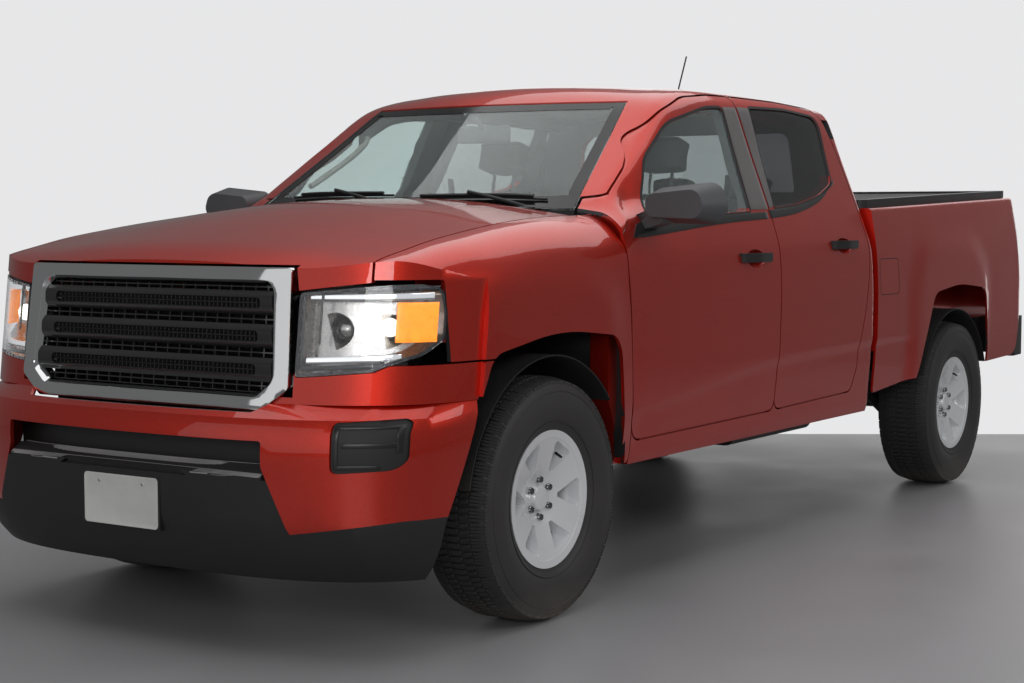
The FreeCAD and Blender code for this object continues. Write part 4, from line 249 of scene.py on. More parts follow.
def turned(points, centre, axis, steps, angle=360.0):
    """A closed profile loop spun about an axis through the centre."""
    bpy.ops.mesh.primitive_circle_add(vertices=len(points), radius=1.0, fill_type="NOTHING")
    obj = bpy.context.active_object
    place_points(obj, points)
    pick(obj)
    bpy.ops.object.mode_set(mode="EDIT")
    bpy.ops.mesh.select_mode(type="VERT")
    bpy.ops.mesh.select_all(action="SELECT")
    bpy.ops.mesh.spin(steps=steps, angle=math.radians(angle), center=tuple(centre), axis=tuple(axis))
    close_mesh()
    tidy_mesh(obj)
    return obj


def rod(start, end, radius, vertices=16, tip=None):
    """A round bar between two points, narrowed to tip at its end."""
    along = end - start
    turn = along.to_track_quat("Z", "Y")
    bpy.ops.mesh.primitive_cone_add(
        vertices=vertices, radius1=radius, radius2=radius if tip is None else tip, depth=along.length,
        location=(start + end) / 2.0, rotation=turn.to_euler())
    bpy.ops.object.transform_apply(location=True, rotation=True, scale=True)
    return bpy.context.active_object


def block(low, high, bevel=0.0, segments=2):
    """A box between two corners with rounded edges."""
    bpy.ops.mesh.primitive_cube_add(size=1.0, location=(low + high) / 2.0, scale=tuple(high - low))
    bpy.ops.object.transform_apply(location=True, rotation=True, scale=True)
    obj = bpy.context.active_object
    if bevel:
        rounded(obj, bevel, segments)
    return obj


def smooth_line(points, count):
    """Evenly spread points on a smooth curve through a few given ones."""
    pts = np.array([tuple(p) for p in points], dtype=float)
    if len(pts) == 2:
        t = np.linspace(0, 1, count)[:, None]
        return [Vector(p) for p in pts[0] * (1 - t) + pts[1] * t]
    ends = np.vstack([2 * pts[0] - pts[1], pts, 2 * pts[-1] - pts[-2]])
    fine = []
    for i in range(1, len(ends) - 2):
        a, b, c, d = ends[i - 1:i + 3]
        for t in np.linspace(0, 1, 24, endpoint=False):
            fine.append(0.5 * (2 * b + (c - a) * t + (2 * a - 5 * b + 4 * c - d) * t * t
                               + (3 * b - a - 3 * c + d) * t ** 3))
    fine.append(pts[-1])
    fine = np.array(fine)
    run = np.concatenate([[0.0], np.cumsum(np.linalg.norm(np.diff(fine, axis=0), axis=1))])
    spots = np.linspace(0, run[-1], count)
    return [Vector([np.interp(s, run, fine[:, k]) for k in range(3)]) for s in spots]


def swept(points, radius, count=24, vertices=10):
    """A round tube along a smooth line through the points, closed at its ends."""
    line = smooth_line(points, count)
    rows = []
    side = None
    for i, p in enumerate(line):
        along = (line[min(i + 1, count - 1)] - line[max(i - 1, 0)]).normalized()
        if side is None:
            side = along.orthogonal().normalized()
        side = (side - along * side.dot(along)).normalized()
        up = along.cross(side)
        ring = []
        for k in range(vertices + 1):
            turn = 2 * math.pi * k / vertices
            ring.append(p + side * (radius * math.cos(turn)) + up * (radius * math.sin(turn)))
        rows.append(ring)
    rows.insert(0, [line[0]] * (vertices + 1))
    rows.append([line[-1]] * (vertices + 1))
    obj = sheet_grid(rows)
    tidy_mesh(obj)
    return obj


def settle(obj, name, body, finish, angle=35.0, replaces=()):
    """Names a finished piece, gives it its finish and lets it ride on a body."""
    pick(obj)
    bpy.ops.object.transform_apply(location=True, rotation=True, scale=True)
    obj.name = name
    obj.data.name = name
    if finish:
        obj.data.materials.clear()
        obj.data.materials.append(material(finish))
    if angle:
        bpy.ops.object.shade_smooth_by_angle(angle=math.radians(angle))
    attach(obj, body)
    if replaces:
        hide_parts(*replaces)
    return obj


def dress(node, finish, angle=30.0, faces=()):
    """A smoothed copy of a solid's mesh in its finish; faces gives (test, finish) pairs for parts of it."""
    source = frame["nodes"][node]
    obj = bpy.data.objects.new(node + "_finished", source.data.copy())
    bpy.context.scene.collection.objects.link(obj)
    pick(obj)
    bpy.ops.mesh.customdata_custom_splitnormals_clear()
    open_mesh(obj)
    bpy.ops.mesh.remove_doubles(threshold=WELD)
    close_mesh()
    settle(obj, node + "_finished", source["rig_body"], finish, angle, replaces=(node,))
    for test, other in faces:
        recolour(obj, test, other)
    return obj


def recolour(obj, test, finish):
    """Gives the faces that pass a test on their centre and normal another finish."""
    obj.data.materials.append(material(finish))
    index = len(obj.data.materials) - 1
    for face in obj.data.polygons:
        if test(face.center, face.normal):
            face.material_index = index


SIDE_HEIGHTS = (0.444, 0.520, 0.640, 0.800, 0.950, 1.080, 1.150, 1.220, 1.290, 1.400, 1.600, 1.800)
SIDE_WIDTHS = (0.900, 0.918, 0.928, 0.932, 0.932, 0.926, 0.917, 0.895, 0.868, 0.824, 0.745, 0.668)


def body_half_width(z):
    return float(np.interp(z, SIDE_HEIGHTS, SIDE_WIDTHS))


# Shader node groups for effects that several finishes share

def add(tree, kind, values=None, **settings):
    """A node with its input values and settings."""
    made = tree.nodes.new(kind)
    for key, value in settings.items():
        setattr(made, key, value)
    for key, value in (values or {}).items():
        made.inputs[key].default_value = value
    return made


def link(tree, source, output, target, entry):
    tree.links.new(source.outputs[output], target.inputs[entry])


def new_group(name, inputs, outputs):
    """A shader group with its sockets, and its input and output nodes."""
    tree = bpy.data.node_groups.new(name, "ShaderNodeTree")
    for title, kind, value in inputs:
        socket = tree.interface.new_socket(name=title, in_out="INPUT", socket_type=kind)
        if value is not None:
            socket.default_value = value
    for title, kind in outputs:
        tree.interface.new_socket(name=title, in_out="OUTPUT", socket_type=kind)
    return tree, tree.nodes.new("NodeGroupInput"), tree.nodes.new("NodeGroupOutput")


def group_mottle():
    """Slow uneven shading: a factor about one half that drifts over the surface."""
    tree, enter, leave = new_group(
        "Uneven tone", [("Vector", "NodeSocketVector", None), ("Scale", "NodeSocketFloat", 3.0)],
        [("Factor", "NodeSocketFloat")])
    noise = add(tree, "ShaderNodeTexNoise", {"Detail": 3.0, "Roughness": 0.55})
    link(tree, enter, "Vector", noise, "Vector")
    link(tree, enter, "Scale", noise, "Scale")
    link(tree, noise, "Fac", leave, "Factor")
    return tree


def group_grain():
    """The pebbled skin of moulded plastic or rubber, as a height."""
    tree, enter, leave = new_group(
        "Moulded grain", [("Vector", "NodeSocketVector", None), ("Scale", "NodeSocketFloat", 900.0)],
        [("Height", "NodeSocketFloat")])
    cells = add(tree, "ShaderNodeTexVoronoi", {"Randomness": 1.0}, feature="SMOOTH_F1")
    noise = add(tree, "ShaderNodeTexNoise", {"Detail": 2.0})
    mix = add(tree, "ShaderNodeMath", operation="ADD")
    for made in (cells, noise):
        link(tree, enter, "Vector", made, "Vector")
        link(tree, enter, "Scale", made, "Scale")
    link(tree, cells, "Distance", mix, 0)
    link(tree, noise, "Fac", mix, 1)
    link(tree, mix, 0, leave, "Height")
    return tree


def group_flake():
    """Metal flakes: a mask that is brighter in single small cells."""
    tree, enter, leave = new_group(
        "Paint flake", [("Vector", "NodeSocketVector", None), ("Scale", "NodeSocketFloat", 1400.0)],
        [("Mask", "NodeSocketFloat")])
    cells = add(tree, "ShaderNodeTexVoronoi", {"Randomness": 1.0})
    split = add(tree, "ShaderNodeSeparateColor")
    link(tree, enter, "Vector", cells, "Vector")
    link(tree, enter, "Scale", cells, "Scale")
    link(tree, cells, "Color", split, "Color")
    link(tree, split, "Red", leave, "Mask")
    return tree


def group_weave():
    """A plain weave: crossing threads as a height, and a mask of the raised ones."""
    tree, enter, leave = new_group(
        "Woven threads", [("Vector", "NodeSocketVector", None), ("Scale", "NodeSocketFloat", 420.0)],
        [("Height", "NodeSocketFloat"), ("Mask", "NodeSocketFloat")])
    waves = []
    for direction in ("X", "Y", "Z"):
        wave = add(tree, "ShaderNodeTexWave", {"Distortion": 1.2, "Detail": 1.0}, bands_direction=direction)
        link(tree, enter, "Vector", wave, "Vector")
        link(tree, enter, "Scale", wave, "Scale")
        waves.append(wave)
    first = add(tree, "ShaderNodeMath", operation="MAXIMUM")
    second = add(tree, "ShaderNodeMath", operation="MULTIPLY")
    link(tree, waves[0], "Fac", first, 0)
    link(tree, waves[1], "Fac", first, 1)
    link(tree, first, 0, second, 0)
    link(tree, waves[2], "Fac", second, 1)
    link(tree, first, 0, leave, "Height")
    link(tree, second, 0, leave, "Mask")
    return tree


def group_dust():
    """Road dust: a mask that fades out with height and breaks up in patches."""
    tree, enter, leave = new_group(
        "Road dust", [("Vector", "NodeSocketVector", None), ("Top", "NodeSocketFloat", 0.7)],
        [("Mask", "NodeSocketFloat")])
    split = add(tree, "ShaderNodeSeparateXYZ")
    fade = add(tree, "ShaderNodeMapRange", {"From Min": 0.0, "To Min": 1.0, "To Max": 0.0})
    noise = add(tree, "ShaderNodeTexNoise", {"Scale": 14.0, "Detail": 6.0, "Roughness": 0.65})
    mix = add(tree, "ShaderNodeMath", operation="MULTIPLY")
    link(tree, enter, "Vector", split, "Vector")
    link(tree, split, "Z", fade, "Value")
    link(tree, enter, "Top", fade, "From Max")
    link(tree, enter, "Vector", noise, "Vector")
    link(tree, fade, "Result", mix, 0)
    link(tree, noise, "Fac", mix, 1)
    link(tree, mix, 0, leave, "Mask")
    return tree


GROUPS = {
    "mottle": group_mottle,
    "grain": group_grain,
    "flake": group_flake,
    "weave": group_weave,
    "dust": group_dust,
}
built_groups = {}


def effect(tree, kind, values):
    """A shared effect placed in a material on Object coordinates."""
    if kind not in built_groups:
        built_groups[kind] = GROUPS[kind]()
    made = tree.nodes.new("ShaderNodeGroup")
    made.node_tree = built_groups[kind]
    for key, value in values.items():
        made.inputs[key].default_value = value
    coordinates = tree.nodes.get("Texture Coordinate") or tree.nodes.new("ShaderNodeTexCoord")
    link(tree, coordinates, "Object", made, "Vector")
    return made


# Finishes

def colour_between(tree, mask, output, first, second, low=0.0, high=1.0):
    """A colour that goes from the first to the second as a mask goes from low to high."""
    reach = add(tree, "ShaderNodeMapRange", {"From Min": low, "From Max": high})
    link(tree, mask, output, reach, "Value")
    mix = add(tree, "ShaderNodeMix", data_type="RGBA")
    mix.inputs[6].default_value = (*first[:3], 1.0)
    mix.inputs[7].default_value = (*second[:3], 1.0)
    tree.links.new(reach.outputs["Result"], mix.inputs[0])
    return mix


def shade(colour, factor):
    return tuple(min(1.0, c * factor) for c in colour[:3])


DUST = (0.16, 0.135, 0.11, 1.0)
DRIFT_LOW = 0.3
DRIFT_HIGH = 0.7


def surface(name, colour, roughness, metallic=0.0, uneven=0.12, scale=3.0, grain=None, weave=None, dust=None,
            coat=0.0, spread=0.06):
    """A solid finish: colour and roughness drift over it, with grain, weave or dust where it has them."""
    made = bpy.data.materials.new(name)
    made.use_nodes = True
    tree = made.node_tree
    shader = tree.nodes["Principled BSDF"]
    shader.inputs["Metallic"].default_value = metallic
    shader.inputs["Coat Weight"].default_value = coat
    shader.inputs["Coat Roughness"].default_value = 0.03
    tone = effect(tree, "mottle", {"Scale": scale})
    darker, lighter = shade(colour, 1.0 - uneven), shade(colour, 1.0 + uneven)
    mix = colour_between(tree, tone, "Factor", darker, lighter, DRIFT_LOW, DRIFT_HIGH)
    last = mix
    if dust:
        mask = effect(tree, "dust", {"Top": dust})
        over = add(tree, "ShaderNodeMix", data_type="RGBA")
        over.inputs[7].default_value = DUST
        tree.links.new(mask.outputs["Mask"], over.inputs[0])
        tree.links.new(mix.outputs[2], over.inputs[6])
        last = over
    tree.links.new(last.outputs[2], shader.inputs["Base Color"])
    rough = add(tree, "ShaderNodeMapRange", {
        "From Min": DRIFT_LOW, "From Max": DRIFT_HIGH,
        "To Min": max(0.0, roughness - spread), "To Max": min(1.0, roughness + spread)})
    link(tree, tone, "Factor", rough, "Value")
    link(tree, rough, "Result", shader, "Roughness")
    relief = grain or weave
    if relief:
        pattern = effect(tree, "grain" if grain else "weave", {"Scale": relief[0]})
        bump = add(tree, "ShaderNodeBump", {"Strength": relief[1], "Distance": relief[2]})
        link(tree, pattern, "Height", bump, "Height")
        link(tree, bump, "Normal", shader, "Normal")
    return made


def paint_finish(name, colour, flake):
    """Metallic paint under a clear coat: flakes lie in the colour and the coat is smooth."""
    made = bpy.data.materials.new(name)
    made.use_nodes = True
    tree = made.node_tree
    shader = tree.nodes["Principled BSDF"]
    sparkle = effect(tree, "flake", {"Scale": 1500.0})
    mix = colour_between(tree, sparkle, "Mask", colour, flake, 0.35, 1.6)
    tree.links.new(mix.outputs[2], shader.inputs["Base Color"])
    shader.inputs["Metallic"].default_value = 0.8
    tone = effect(tree, "mottle", {"Scale": 1.6})
    rough = add(tree, "ShaderNodeMapRange", {
        "From Min": DRIFT_LOW, "From Max": DRIFT_HIGH, "To Min": 0.35, "To Max": 0.41})
    link(tree, tone, "Factor", rough, "Value")
    link(tree, rough, "Result", shader, "Roughness")
    shader.inputs["Coat Weight"].default_value = 1.0
    shader.inputs["Coat Roughness"].default_value = 0.02
    shader.inputs["Coat IOR"].default_value = 1.5
    return made


def glass_finish(name, colour, roughness=0.0, tint=0.02, ior=1.45):
    """Clear or tinted glass with faint smears in its roughness."""
    made = bpy.data.materials.new(name)
    made.use_nodes = True
    tree = made.node_tree
    shader = tree.nodes["Principled BSDF"]
    shader.inputs["Transmission Weight"].default_value = 1.0
    shader.inputs["IOR"].default_value = ior
    tone = effect(tree, "mottle", {"Scale": 2.2})
    mix = colour_between(tree, tone, "Factor", shade(colour, 1.0 - tint), colour, DRIFT_LOW, DRIFT_HIGH)
    tree.links.new(mix.outputs[2], shader.inputs["Base Color"])
    smear = add(tree, "ShaderNodeMapRange", {
        "From Min": 0.5, "From Max": 0.8, "To Min": roughness, "To Max": roughness + 0.015})
    link(tree, tone, "Factor", smear, "Value")
    link(tree, smear, "Result", shader, "Roughness")
    return made


def lit_finish(name, colour, strength):
    """A lit lamp part, brightest where its texture is."""
    made = surface(name, colour, 0.3, uneven=0.05, scale=40.0)
    tree = made.node_tree
    shader = tree.nodes["Principled BSDF"]
    tone = effect(tree, "mottle", {"Scale": 55.0})
    mix = colour_between(tree, tone, "Factor", shade(colour, 0.7), colour, 0.35, 0.6)
    tree.links.new(mix.outputs[2], shader.inputs["Emission Color"])
    shader.inputs["Emission Strength"].default_value = strength
    return made


def finishes():
    """Every finish on the truck by its name."""
    c = bpy.context.scene.truck_colours
    black = (0.012, 0.012, 0.013)
    return {
        "paint": lambda n: paint_finish(n, c.paint, c.flake),
        "grained_black": lambda n: surface(n, (0.015, 0.015, 0.016), 0.55, grain=(520.0, 0.35, 0.0006)),
        "gloss_black": lambda n: surface(n, black, 0.16, uneven=0.2, spread=0.04, coat=1.0),
        "satin_black": lambda n: surface(n, (0.016, 0.016, 0.017), 0.34, grain=(1200.0, 0.12, 0.0003)),
        "matt_grey": lambda n: surface(n, (0.075, 0.077, 0.082), 0.5, grain=(700.0, 0.3, 0.0005)),
        "pillar_grey": lambda n: surface(n, (0.13, 0.12, 0.12), 0.38, grain=(1500.0, 0.1, 0.0002)),
        "ledge_grey": lambda n: surface(
            n, (0.34, 0.345, 0.35), 0.34, metallic=0.35, grain=(900.0, 0.12, 0.0003)),
        "chrome": lambda n: surface(n, (0.80, 0.81, 0.82), 0.05, metallic=1.0, uneven=0.02, spread=0.02),
        "alloy": lambda n: surface(
            n, c.alloy, 0.30, metallic=0.25, uneven=0.04, coat=0.6, grain=(2200.0, 0.05, 0.0002)),
        "dark_nut": lambda n: surface(n, (0.16, 0.16, 0.165), 0.22, metallic=0.9, spread=0.05),
        "rubber": lambda n: surface(n, (0.036, 0.034, 0.034), 0.62, grain=(700.0, 0.25, 0.0005), dust=0.10),
        "sidewall": lambda n: surface(
            n, (0.040, 0.037, 0.037), 0.55, scale=6.0, grain=(1400.0, 0.15, 0.0003), dust=0.12),
        "seal": lambda n: surface(n, (0.010, 0.010, 0.010), 0.5, grain=(1500.0, 0.1, 0.0003)),
        "clear_glass": lambda n: glass_finish(n, (0.76, 0.86, 0.84)),
        "privacy_glass": lambda n: glass_finish(n, (0.16, 0.165, 0.17)),
        "mirror_glass": lambda n: surface(
            n, (0.85, 0.86, 0.87), 0.02, metallic=1.0, uneven=0.01, spread=0.01),
        "frit": lambda n: surface(n, (0.006, 0.006, 0.006), 0.12, uneven=0.3, scale=60.0, spread=0.04),
        "lamp_lens": lambda n: glass_finish(n, (0.97, 0.98, 0.99), 0.0, 0.01, 1.35),
        "lamp_dark": lambda n: surface(n, (0.03, 0.031, 0.034), 0.22, metallic=0.5, uneven=0.2),
        "reflector": lambda n: surface(n, (0.34, 0.33, 0.32), 0.26, metallic=1.0, uneven=0.05, scale=30.0),
        "amber": lambda n: lit_finish(n, (1.0, 0.27, 0.01), 0.75),
        "lamp_light": lambda n: lit_finish(n, (1.0, 0.93, 0.82), 2.2),
        "red_lens": lambda n: surface(
            n, (0.35, 0.006, 0.008), 0.08, coat=1.0, uneven=0.2, scale=60.0, grain=(260.0, 0.3, 0.001)),
        "clear_lens": lambda n: surface(
            n, (0.55, 0.55, 0.55), 0.08, coat=1.0, metallic=0.5, grain=(260.0, 0.3, 0.001)),
        "frame_steel": lambda n: surface(n, (0.018, 0.018, 0.019), 0.48, uneven=0.25, scale=5.0, dust=0.55),
        "cast_metal": lambda n: surface(
            n, (0.20, 0.20, 0.20), 0.48, metallic=0.8, uneven=0.2, grain=(350.0, 0.35, 0.0008), dust=0.4),
        "bare_disc": lambda n: surface(n, (0.32, 0.32, 0.32), 0.3, metallic=1.0, uneven=0.15, scale=20.0),
        "exhaust_steel": lambda n: surface(
            n, (0.24, 0.21, 0.18), 0.42, metallic=0.9, uneven=0.3, scale=7.0, dust=0.5),
        "underbody": lambda n: surface(n, (0.03, 0.03, 0.03), 0.7, grain=(300.0, 0.3, 0.001), dust=0.5),
        "liner": lambda n: surface(n, (0.012, 0.012, 0.012), 0.8, grain=(250.0, 0.5, 0.002), dust=0.6),
        "cover_cloth": lambda n: surface(n, (0.020, 0.020, 0.022), 0.6, weave=(700.0, 0.25, 0.0005)),
        "cover_frame": lambda n: surface(n, (0.026, 0.026, 0.028), 0.42, grain=(1000.0, 0.15, 0.0003)),
        "bed_lining": lambda n: surface(n, (0.020, 0.020, 0.020), 0.7, grain=(220.0, 0.7, 0.0015)),
        "seat_cloth": lambda n: surface(n, c.cloth, 0.85, uneven=0.15, scale=9.0, weave=(520.0, 0.5, 0.0008)),
        "seat_side": lambda n: surface(n, shade(c.cloth, 1.35), 0.6, grain=(420.0, 0.35, 0.0007)),
        "piping": lambda n: surface(n, shade(c.cloth, 0.5), 0.7, weave=(1500.0, 0.4, 0.0004)),
        "cabin_trim": lambda n: surface(n, c.trim, 0.6, grain=(480.0, 0.4, 0.0007)),
        "cabin_silver": lambda n: surface(
            n, (0.42, 0.43, 0.44), 0.3, metallic=0.7, grain=(1800.0, 0.06, 0.0002)),
        "headliner": lambda n: surface(n, (0.30, 0.29, 0.27), 0.9, weave=(900.0, 0.3, 0.0005)),
        "carpet": lambda n: surface(n, (0.03, 0.03, 0.031), 0.95, grain=(160.0, 0.9, 0.003)),
        "wheel_leather": lambda n: surface(n, (0.020, 0.020, 0.021), 0.42, grain=(380.0, 0.4, 0.0006)),
        "screen": lambda n: surface(n, (0.01, 0.011, 0.013), 0.08, uneven=0.3, coat=0.5),
        "plate_white": lambda n: surface(
            n, (0.62, 0.62, 0.60), 0.35, uneven=0.06, scale=12.0, grain=(1800.0, 0.1, 0.0002)),
        "webbing": lambda n: surface(n, (0.03, 0.03, 0.032), 0.75, weave=(1100.0, 0.5, 0.0005)),
    }


built_finishes = {}


def material(name):
    """The finish of that name, built when it is first used."""
    if name not in built_finishes:
        built_finishes[name] = finishes()[name]("finish_" + name)
    return built_finishes[name]


# Finding the truck's surfaces

surface_trees = {}


def cast(obj, origin, direction):
    """Where a straight line first meets an object, or nothing."""
    if obj.data.name not in surface_trees:
        surface_trees[obj.data.name] = BVHTree.FromPolygons(
            [v.co for v in obj.data.vertices], [tuple(f.vertices) for f in obj.data.polygons])
    return surface_trees[obj.data.name].ray_cast(origin, direction)[0]


BESIDE = 1300.0
BEFORE = -1400.0
ABOVE = 2200.0


def on_side(station, z, sign, nodes, lift):
    """The outermost point of the body's side at a station and height, lifted off it."""
    suffix = "_left" if sign > 0 else "_right"
    best = None
    for name in nodes:
        place = cast(frame["nodes"][name + suffix], at(BESIDE * sign, station, z), Vector((-sign, 0, 0)))
        if place is not None and (best is None or abs(place.x) > abs(best.x)):
            best = place
    if best is None:
        best = at(body_half_width(z / 1000.0) * 1000.0 * sign, station, z)
    return best + Vector((lift * sign, 0, 0))


def draped_band(low, high, sign, nodes, count, across, lift, thickness, bevel=0.0):
    """A strip on the body's side between two lines of (station, height) points."""
    first = smooth_line([Vector((0, p[0], p[1])) for p in low], count)
    second = smooth_line([Vector((0, p[0], p[1])) for p in high], count)
    rows = []
    for k in range(across + 1):
        share = k / across
        row = []
        for a, b in zip(first, second):
            p = a.lerp(b, share)
            row.append(on_side(p.y, p.z, sign, nodes, lift))
        rows.append(row)
    obj = sheet_grid(rows)
    face_outwards(obj, Vector((sign, 0, 0)))
    thicken(obj, thickness, offset=-1.0)
    if bevel:
        rounded(obj, bevel, 2)
    return obj


def arc_corners(corners, steps=6):
    """A closed outline of (a, b, radius) corners as points, each corner rounded."""
    line = []
    for i, (a, b, radius) in enumerate(corners):
        corner = Vector((a, b))
        before = Vector(corners[i - 1][:2]) - corner
        after = Vector(corners[(i + 1) % len(corners)][:2]) - corner
        half = before.angle(after) / 2.0
        reach = min(radius / math.tan(half), 0.48 * before.length, 0.48 * after.length)
        first = corner + before.normalized() * reach
        last = corner + after.normalized() * reach
        for t in np.linspace(0.0, 1.0, steps + 1):
            line.append(first.lerp(corner, t).lerp(corner.lerp(last, t), t))
    return line


def draped_loop(outline, width, sign, nodes, lift, thickness, shift=0.0, spacing=12.0):
    """A closed strip on the body's side, of a width, round an outline of (station, height) points."""
    ring = []
    for a, b in zip(outline, outline[1:] + outline[:1]):
        steps = max(1, int((b - a).length / spacing))
        ring += [a.lerp(b, k / steps) for k in range(steps) if (b - a).length > 0.5]
    area = sum(a.x * b.y - b.x * a.y for a, b in zip(ring, ring[1:] + ring[:1]))
    rows = [[], []]
    for i in range(len(ring) + 1):
        p = ring[i % len(ring)]
        along = (ring[(i + 1) % len(ring)] - ring[(i - 1) % len(ring)]).normalized()
        out = Vector((along.y, -along.x)) * math.copysign(1.0, area)
        for row, reach in zip(rows, (shift, shift + width)):
            q = p + out * reach
            row.append(on_side(q.x, q.y, sign, nodes, lift))
    obj = sheet_grid(rows)
    open_mesh(obj)
    bpy.ops.mesh.remove_doubles(threshold=WELD)
    close_mesh()
    face_outwards(obj, Vector((sign, 0, 0)))
    thicken(obj, thickness, offset=-1.0)
    return obj


def face_outwards(obj, direction):
    """Turns an open sheet so that its faces look along a direction."""
    total = Vector((0, 0, 0))
    for face in obj.data.polygons:
        total += face.normal * face.area
    if total.dot(direction) < 0:
        obj.data.flip_normals()


# Painted panels

PAINTED = ("body_side", "fender", "bed_side", "door_front", "door_rear")
HANDLES = {"door_front": (1392.0, 1124.0), "door_rear": (2225.0, 1162.0)}
HANDLE_HALF = (0.128, 0.0178)
WELL_REACH = 0.58
WINDOW_SILL = 1.28
HEADLINER_FOOT = 1.25


def handle_test(station, z, sign):
    """Faces of a door's pull handle."""
    y = at(0, station, 0).y

    def test(c, n):
        if abs(c.y - y) > HANDLE_HALF[0] or abs(c.z - z / 1000.0) > HANDLE_HALF[1]:
            return False
        return abs(c.x) > body_half_width(c.z) - 0.004 or abs(n.z) > 0.85
    return test


def well_test(sign):
    """Faces of a wheel opening that lie behind the outer skin and look at the tyre."""
    def test(c, n):
        behind = c.z < 1.05 and n.x * sign < 0.5 and abs(c.x) < body_half_width(c.z) - 0.004
        return behind and min(abs(c.y + FRONT_AXLE / 1000.0), abs(c.y + REAR_AXLE / 1000.0)) < WELL_REACH
    return test


def inner_test(sign, depth=0.035):
    """Faces behind the outer skin that look into the cabin, and the window frames' inner sides."""
    def test(c, n):
        if n.x * sign > 0.2 or n.z > 0.35:
            return False
        if c.z > WINDOW_SILL:
            return abs(c.x) < body_half_width(c.z) - 0.005
        return n.x * sign < -0.35 and abs(c.x) < body_half_width(c.z) - depth
    return test


def upper_test(sign):
    """Faces far behind the outer skin, above the windows' foot, that look inwards."""
    return lambda c, n: (
        n.x * sign < -0.3 and c.z > HEADLINER_FOOT and abs(c.x) < body_half_width(c.z) - 0.05)


class TRUCK_OT_bodywork(bpy.types.Operator):
    """Paints the body's panels and gives their inner faces the cabin's trim"""
    bl_idname = "truck.bodywork"
    bl_label = "Painted bodywork"

    def execute(self, context):
        for side, sign in SIDES:
            for name in PAINTED:
                faces = []
                if name in HANDLES:
                    faces.append((inner_test(sign), "cabin_trim"))
                    faces.append((handle_test(*HANDLES[name], sign), "grained_black"))
                if name == "body_side":
                    faces.append((inner_test(sign, 0.045), "cabin_trim"))
                if name in ("fender", "bed_side"):
                    faces.append((well_test(sign), "grained_black"))
                    faces.append((upper_test(sign), "headliner"))
                dress(name + "_" + side, "paint", 28.0, faces)
        dress("roof", "paint", 28.0, [(lambda c, n: n.z < -0.3, "headliner")])
        dress("hood", "paint", 28.0)
        dress("bumper_front", "paint", 28.0)
        dress("rear_panel", "paint", 28.0, [(lambda c, n: n.y < -0.5, "cabin_trim")])
        handle = lambda c, n: abs(c.x) < 0.106 and 1.261 < c.z < 1.293 and c.y > at(0, 4484, 0).y
        dress("tailgate", "paint", 28.0, [(handle, "grained_black")])
        return {"FINISHED"}


# Windows

WINDOW_FRONT = [
    (672, 1272, 22), (812, 1478, 160), (1030, 1613, 400), (1375, 1686, 500), (1512, 1693, 20),
    (1450, 1297, 20),
]
WINDOW_REAR = [
    (1672, 1313, 20), (1752, 1704, 20), (2080, 1712, 900), (2385, 1693, 50), (2300, 1418, 60),
    (2130, 1366, 200), (1890, 1327, 500),
]
SCREEN_MIDDLE = 700.0


def screen_edge(x, low):
    """The station of the windscreen's lower or upper edge at x."""
    if low:
        return 352.0 + 100.0 * (x / 704.0) ** 2
    return 952.0 + 84.0 * (x / 571.0) ** 2


def screen_point(x, station, lift):
    """The point of the windscreen's outer face nearest to a place, towards its middle, lifted along z."""
    for share in np.linspace(0.0, 0.4, 81):
        spot = at(x * (1.0 - share), station + (SCREEN_MIDDLE - station) * share, ABOVE)
        place = cast(frame["nodes"]["windshield"], spot, Vector((0, 0, -1)))
        if place is not None:
            return place + Vector((0, 0, lift))
    raise RuntimeError("no windscreen near this place")


class TRUCK_OT_glazing(bpy.types.Operator):
    """Fits the windows with their black borders and seals"""
    bl_idname = "truck.glazing"
    bl_label = "Windows"

    def execute(self, context):
        panes = [dress("windshield", "clear_glass", 60.0)]
        panes.append(dress("rear_window", "privacy_glass", 60.0))
        for side, sign in SIDES:
            panes.append(dress("glass_front_" + side, "clear_glass", 60.0))
            panes.append(dress("glass_rear_" + side, "privacy_glass", 60.0))
            for name, outline in (("front", WINDOW_FRONT), ("rear", WINDOW_REAR)):
                nodes = ["door_" + name, "glass_" + name]
                seal = draped_loop(arc_corners(outline), 10.0, sign, nodes, 0.0012, 0.003, shift=1.0)
                body = f"door_{name}_{side}"
                settle(seal, f"window_seal_{name}_{side}", body, "seal", 40.0)
        for pane in panes:
            pane.visible_shadow = False
        settle(self.border(), "windscreen_border", "chassis", "frit", 60.0)
        return {"FINISHED"}

    def border(self):
        """The black ceramic band round the windscreen."""
        foot_half, top_half = 698.0, 566.0
        across = np.linspace(-1.0, 1.0, 33)
        upwards = np.linspace(0.0, 1.0, 17)[1:-1]

        def post(u, sign):
            """The band's outer and inner point at a share of the height, on the side of sign."""
            x, y = foot_half - u * 130.0, 456.0 + u * 572.0
            return (x * sign, y), ((x - 48.0 + 8.0 * u) * sign, min(max(y, 515.0), 992.0))

        pairs = []
        for u in across:
            edge = screen_edge(u * foot_half, True)
            pairs.append(((u * foot_half, edge + 3.0), (u * 648.0, edge + 62.0)))
        pairs += [post(u, 1.0) for u in upwards]
        for u in across[::-1]:
            outside = (u * top_half, screen_edge(u * top_half, False) - 6.0)
            pairs.append((outside, (u * 524.0, screen_edge(u * 524.0, False) - 46.0)))
        pairs += [post(u, -1.0) for u in upwards[::-1]]
        outer, inner = zip(*pairs)
        rows = [[], []]
        for row, ring in zip(rows, (outer, inner)):
            for x, y in (*ring, ring[0]):
                row.append(screen_point(x, y, 0.0) + Vector((0, -0.0004, 0.0006)))
        obj = sheet_grid(rows)
        open_mesh(obj)
        bpy.ops.mesh.remove_doubles(threshold=WELD)
        close_mesh()
        face_outwards(obj, Vector((0, -0.6, 0.8)))
        thicken(obj, 0.0004)
        return obj


# Outside trim

